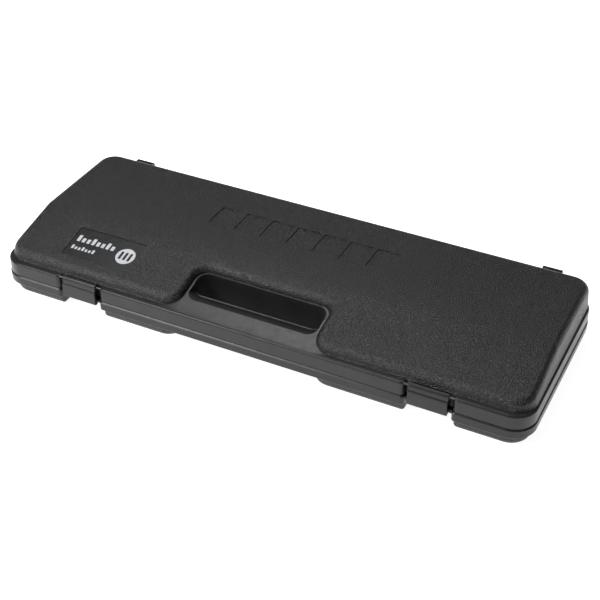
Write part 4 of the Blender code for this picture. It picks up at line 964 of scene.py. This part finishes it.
def within_hollows(point):
    """Is point on the wall of the well, a tray or a pocket?"""
    slack = 2 * SKIN_SLACK
    areas = [(-WELL_HALF_LENGTH, WELL_HALF_LENGTH, WELL_FRONT, WELL_BACK)]
    areas += [(left, right, LID_TRAY_FRONT, TRAY_BACK) for left, right in TRAYS]
    for side in (-1, 1):
        x0, x1 = sorted((side * POCKET_INNER, side * POCKET_OUTER_LID))
        areas.append((x0, x1, POCKET_FRONT, POCKET_BACK))
    return any(
        x0 - slack < point.x < x1 + slack and y0 - slack < point.y < y1 + slack for x0, x1, y0, y1 in areas
    )


def base_body():
    """The grained underside, set in from the rim, with room below the latches and the slot."""
    front = RIM_FRONT + BASE_BODY_INSET
    side, back = HALF_LENGTH - BASE_BODY_INSET, RIM_BACK - BASE_BODY_INSET
    well, radius = RIM_FRONT + LATCH_WELL_DEPTH, LATCH_WELL_RADIUS
    wells = []
    for centre in (-LATCH_X, LATCH_X):
        left, right = centre - LATCH_WELL_WIDTH / 2, centre + LATCH_WELL_WIDTH / 2
        left_wall, right_wall = [(left, front), (left, well)], [(right, well), (right, front)]
        wells.append([(x, y, radius) for x, y in left_wall + right_wall])
    notch = handle_notch(front, BASE_NOTCH_LEDGE)
    corners = [(-side, front, BASE_BODY_RADIUS), *wells[0], *notch, *wells[1]]
    corners += [(x, y, BASE_BODY_RADIUS) for x, y in ((side, front), (side, back), (-side, back))]
    levels = [(BASE_EDGE - rise, inset) for inset, rise in quarter(BASE_EDGE)]
    levels.append((0.0, BASE_RIM_LOW + PANEL_SINK))
    return stacked("base_body", corners, levels)


def socket_recess():
    """Room in the well's end wall, in front of the mouthpiece socket."""
    low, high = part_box("mouthpiece_socket")
    middle = (low.y + high.y) / 2
    return block(
        "socket_recess",
        (-RECESS_END, middle - RECESS_HALF, BASE_EDGE),
        (-WELL_HALF_LENGTH + OVERLAP, middle + RECESS_HALF, PARTING + OVERLAP),
    )


def latch_catch(tag, centre):
    """The wedge under the parting that a latch's bead closes over."""
    return profile_along_x("catch_" + tag, CATCH_PROFILE, centre - CATCH_HALF, centre + CATCH_HALF)


def make_base():
    """The base with its rim, body, hollows and hinges."""
    levels = [(BASE_RIM_EDGE - rise, BASE_RIM_LOW + inset) for inset, rise in quarter(BASE_RIM_EDGE)]
    high, past = PARTING - PARTING_GAP, PARTING + OVERLAP
    levels += [(0.0, high - PARTING_LIP), (PARTING_LIP, high)]
    base = stacked("base_shell", rim_corners(BASE_NOTCH_DEPTH, BASE_NOTCH_MOUTH), levels)
    steps = [(base_body(), "UNION")] + hinge_tools(base_hinge_parts)
    for tag, centre in (("left", -LATCH_X), ("right", LATCH_X)):
        steps.append((latch_catch(tag, centre), "UNION"))
    well = box_corners(-WELL_HALF_LENGTH, WELL_HALF_LENGTH, WELL_FRONT, WELL_BACK, WELL_RADIUS)
    cuts = [slot_in_base(), socket_recess(), stacked("well_in_base", well, [(0.0, BASE_FLOOR), (0.0, past)])]
    for number, (left, right) in enumerate(TRAYS):
        corners = box_corners(left, right, TRAY_FRONT, TRAY_BACK, TRAY_RADIUS)
        cuts.append(stacked(f"base_tray_{number}", corners, [(0.0, BASE_FLOOR), (0.0, past)]))
    for side in (-1, 1):
        cuts.append(end_pocket(f"base_pocket_{side}", side, POCKET_OUTER_BASE, BASE_EDGE, past))
    base = combined(base, steps + [(tool, "DIFFERENCE") for tool in cuts])

    def skin(face):
        """Matt, with painted shade, in the slot and the hollows, grained below the rim, smooth on the rim."""
        height = face.center.z
        hollow = within_hollows(face.center) and BASE_FLOOR / 2 < height < PARTING - 3 * SKIN_SLACK
        if hollow or in_slot(face):
            return SHADED_INNER
        return GRAINED if height < BASE_RIM_LOW - SKIN_SLACK else SMOOTH

    paint(base, (SMOOTH, SHADED_INNER, GRAINED), skin)
    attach(soften(base), "base")
    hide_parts("case_base")


# Pieces whose shape the model gives


def refined(node, skin, body, bevel):
    """A copy of a CAD node with its seams welded, its edges broken and its round faces smooth."""
    bm = bmesh.new()
    bm.from_mesh(frame["nodes"][node].data)
    bmesh.ops.remove_doubles(bm, verts=bm.verts, dist=WELD)
    bmesh.ops.dissolve_limit(bm, angle_limit=FLAT_ANGLE, verts=bm.verts, edges=bm.edges)
    piece = mesh_object(node + "_finished", bm)
    if bevel:
        edges = piece.modifiers.new("broken_edges", "BEVEL")
        edges.width = bevel
        edges.segments = BEVEL_SEGMENTS
        edges.limit_method = "ANGLE"
        edges.angle_limit = BEVEL_ANGLE
        piece.data = evaluated_mesh(piece)
        piece.modifiers.clear()
    paint(piece, (skin,))
    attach(soften(piece), body)
    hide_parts(node)


def printed(name, corners):
    """A patch of ink on the badge."""
    return slanted(name, corners, lambda y: top_height(y) - BADGE_DEPTH - INK_SINK, BADGE_DEPTH - INK_HEIGHT)


def print_row(row, count, foot, tall, pitch):
    """A row of plain strokes like lettering. Sizes are shares of the badge's, and every third is tall."""
    width, depth = BADGE_HIGH.x - BADGE_LOW.x, BADGE_HIGH.y - BADGE_LOW.y
    strokes = []
    for number in range(count):
        x = BADGE_LOW.x + width * (PRINT_MARGIN + pitch * number)
        y = BADGE_LOW.y + depth * foot
        high = y + depth * tall * (1.0 if number % 3 == 0 else LOW_STROKE)
        corners = box_corners(x, x + width * pitch * STROKE_SHARE, y, high, STROKE_RADIUS)
        strokes.append(printed(f"stroke_{row}_{number}", corners))
    return strokes


def print_mark():
    """A round mark with three key shapes left open in it."""
    width, depth = BADGE_HIGH.x - BADGE_LOW.x, BADGE_HIGH.y - BADGE_LOW.y
    centre = Vector((BADGE_LOW.x + width * MARK_PLACE[0], BADGE_LOW.y + depth * MARK_PLACE[1]))
    radius = depth * MARK_RADIUS
    mark = printed("mark", box_corners(*round_box(centre, radius, radius), radius * NEARLY_ROUND))
    cuts = []
    for number in (-1, 0, 1):
        middle = centre + Vector((number * radius * MARK_KEY_PITCH, 0))
        box = round_box(middle, radius * MARK_KEY[0], radius * MARK_KEY[1])
        corners = box_corners(*box, MARK_KEY_RADIUS)
        key = slanted(f"key_{number}", corners, lambda y: top_height(y) - OVERLAP, -OVERLAP)
        cuts.append((key, "DIFFERENCE"))
    return combined(mark, cuts)


def make_badge_print():
    """Two rows of strokes and the mark, as one thin piece on the badge."""
    patches = []
    for row, sizes in enumerate(PRINT_ROWS):
        patches += print_row(row, *sizes)
    patches.append(print_mark())
    bm = bmesh.new()
    for patch in patches:
        bm.from_mesh(patch.data)
        bpy.data.objects.remove(patch)
    ink = mesh_object("badge_print", bm)
    paint(ink, (INK,))
    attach(ink, "lid")


def round_box(centre, half_width, half_depth):
    """The four sides of a box round centre."""
    return centre.x - half_width, centre.x + half_width, centre.y - half_depth, centre.y + half_depth


def make_badge():
    """The badge lies a little below the lid's face, with a rounded edge."""
    corners = box_corners(BADGE_LOW.x, BADGE_HIGH.x, BADGE_LOW.y, BADGE_HIGH.y, BADGE_RADIUS)
    foot = BADGE_DEPTH + BADGE_THICKNESS
    rings = [[(p.x, p.y, top_height(p.y) - foot) for p in rounded_outline(corners)]]
    for inset, rise in quarter(BADGE_EDGE, BADGE_EDGE_STEPS):
        depth = BADGE_DEPTH + BADGE_EDGE - rise
        rings.append([(p.x, p.y, top_height(p.y) - depth) for p in rounded_outline(corners, inset)])
    badge = lofted("name_badge_finished", rings)
    paint(badge, (BADGE_FOIL,))
    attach(soften(badge, BADGE_SOFT_ANGLE), "lid")
    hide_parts("name_badge")


def body_of(node):
    """The moving body that a CAD node belongs to."""
    return next(name for name, nodes in frame["record"]["behaviour"]["bodies"].items() if node in nodes)


def slot_of(node):
    """The material slot of a CAD node."""
    return next(part["material_slot"] for part in frame["record"]["subparts"] if part["node"] == node)


def make_small_pieces():
    """Every node that the two halves and the badge above don't stand for."""
    skins = {
        "smooth_black_plastic": SMOOTH, "badge_foil": BADGE_FOIL, "pin_steel": STEEL,
        "housing_black": HOUSING, "chest_grey": CHEST, "reed_brass": BRASS, "stop_felt": FELT,
        "strap_vinyl": VINYL, "mouthpiece_cream": CREAM, "key_white": IVORY, "key_black": EBONY,
    }
    for node in sorted(frame["nodes"]):
        if node in ("case_base", "case_lid", "name_badge"):
            continue
        slot = slot_of(node)
        bevel = 0.0 if node in UNBEVELLED else BEVELS.get(slot, BEVEL)
        refined(node, skins[slot], body_of(node), bevel)


make_stage()
make_camera()
make_lid()
make_base()
make_badge()
make_badge_print()
make_small_pieces()
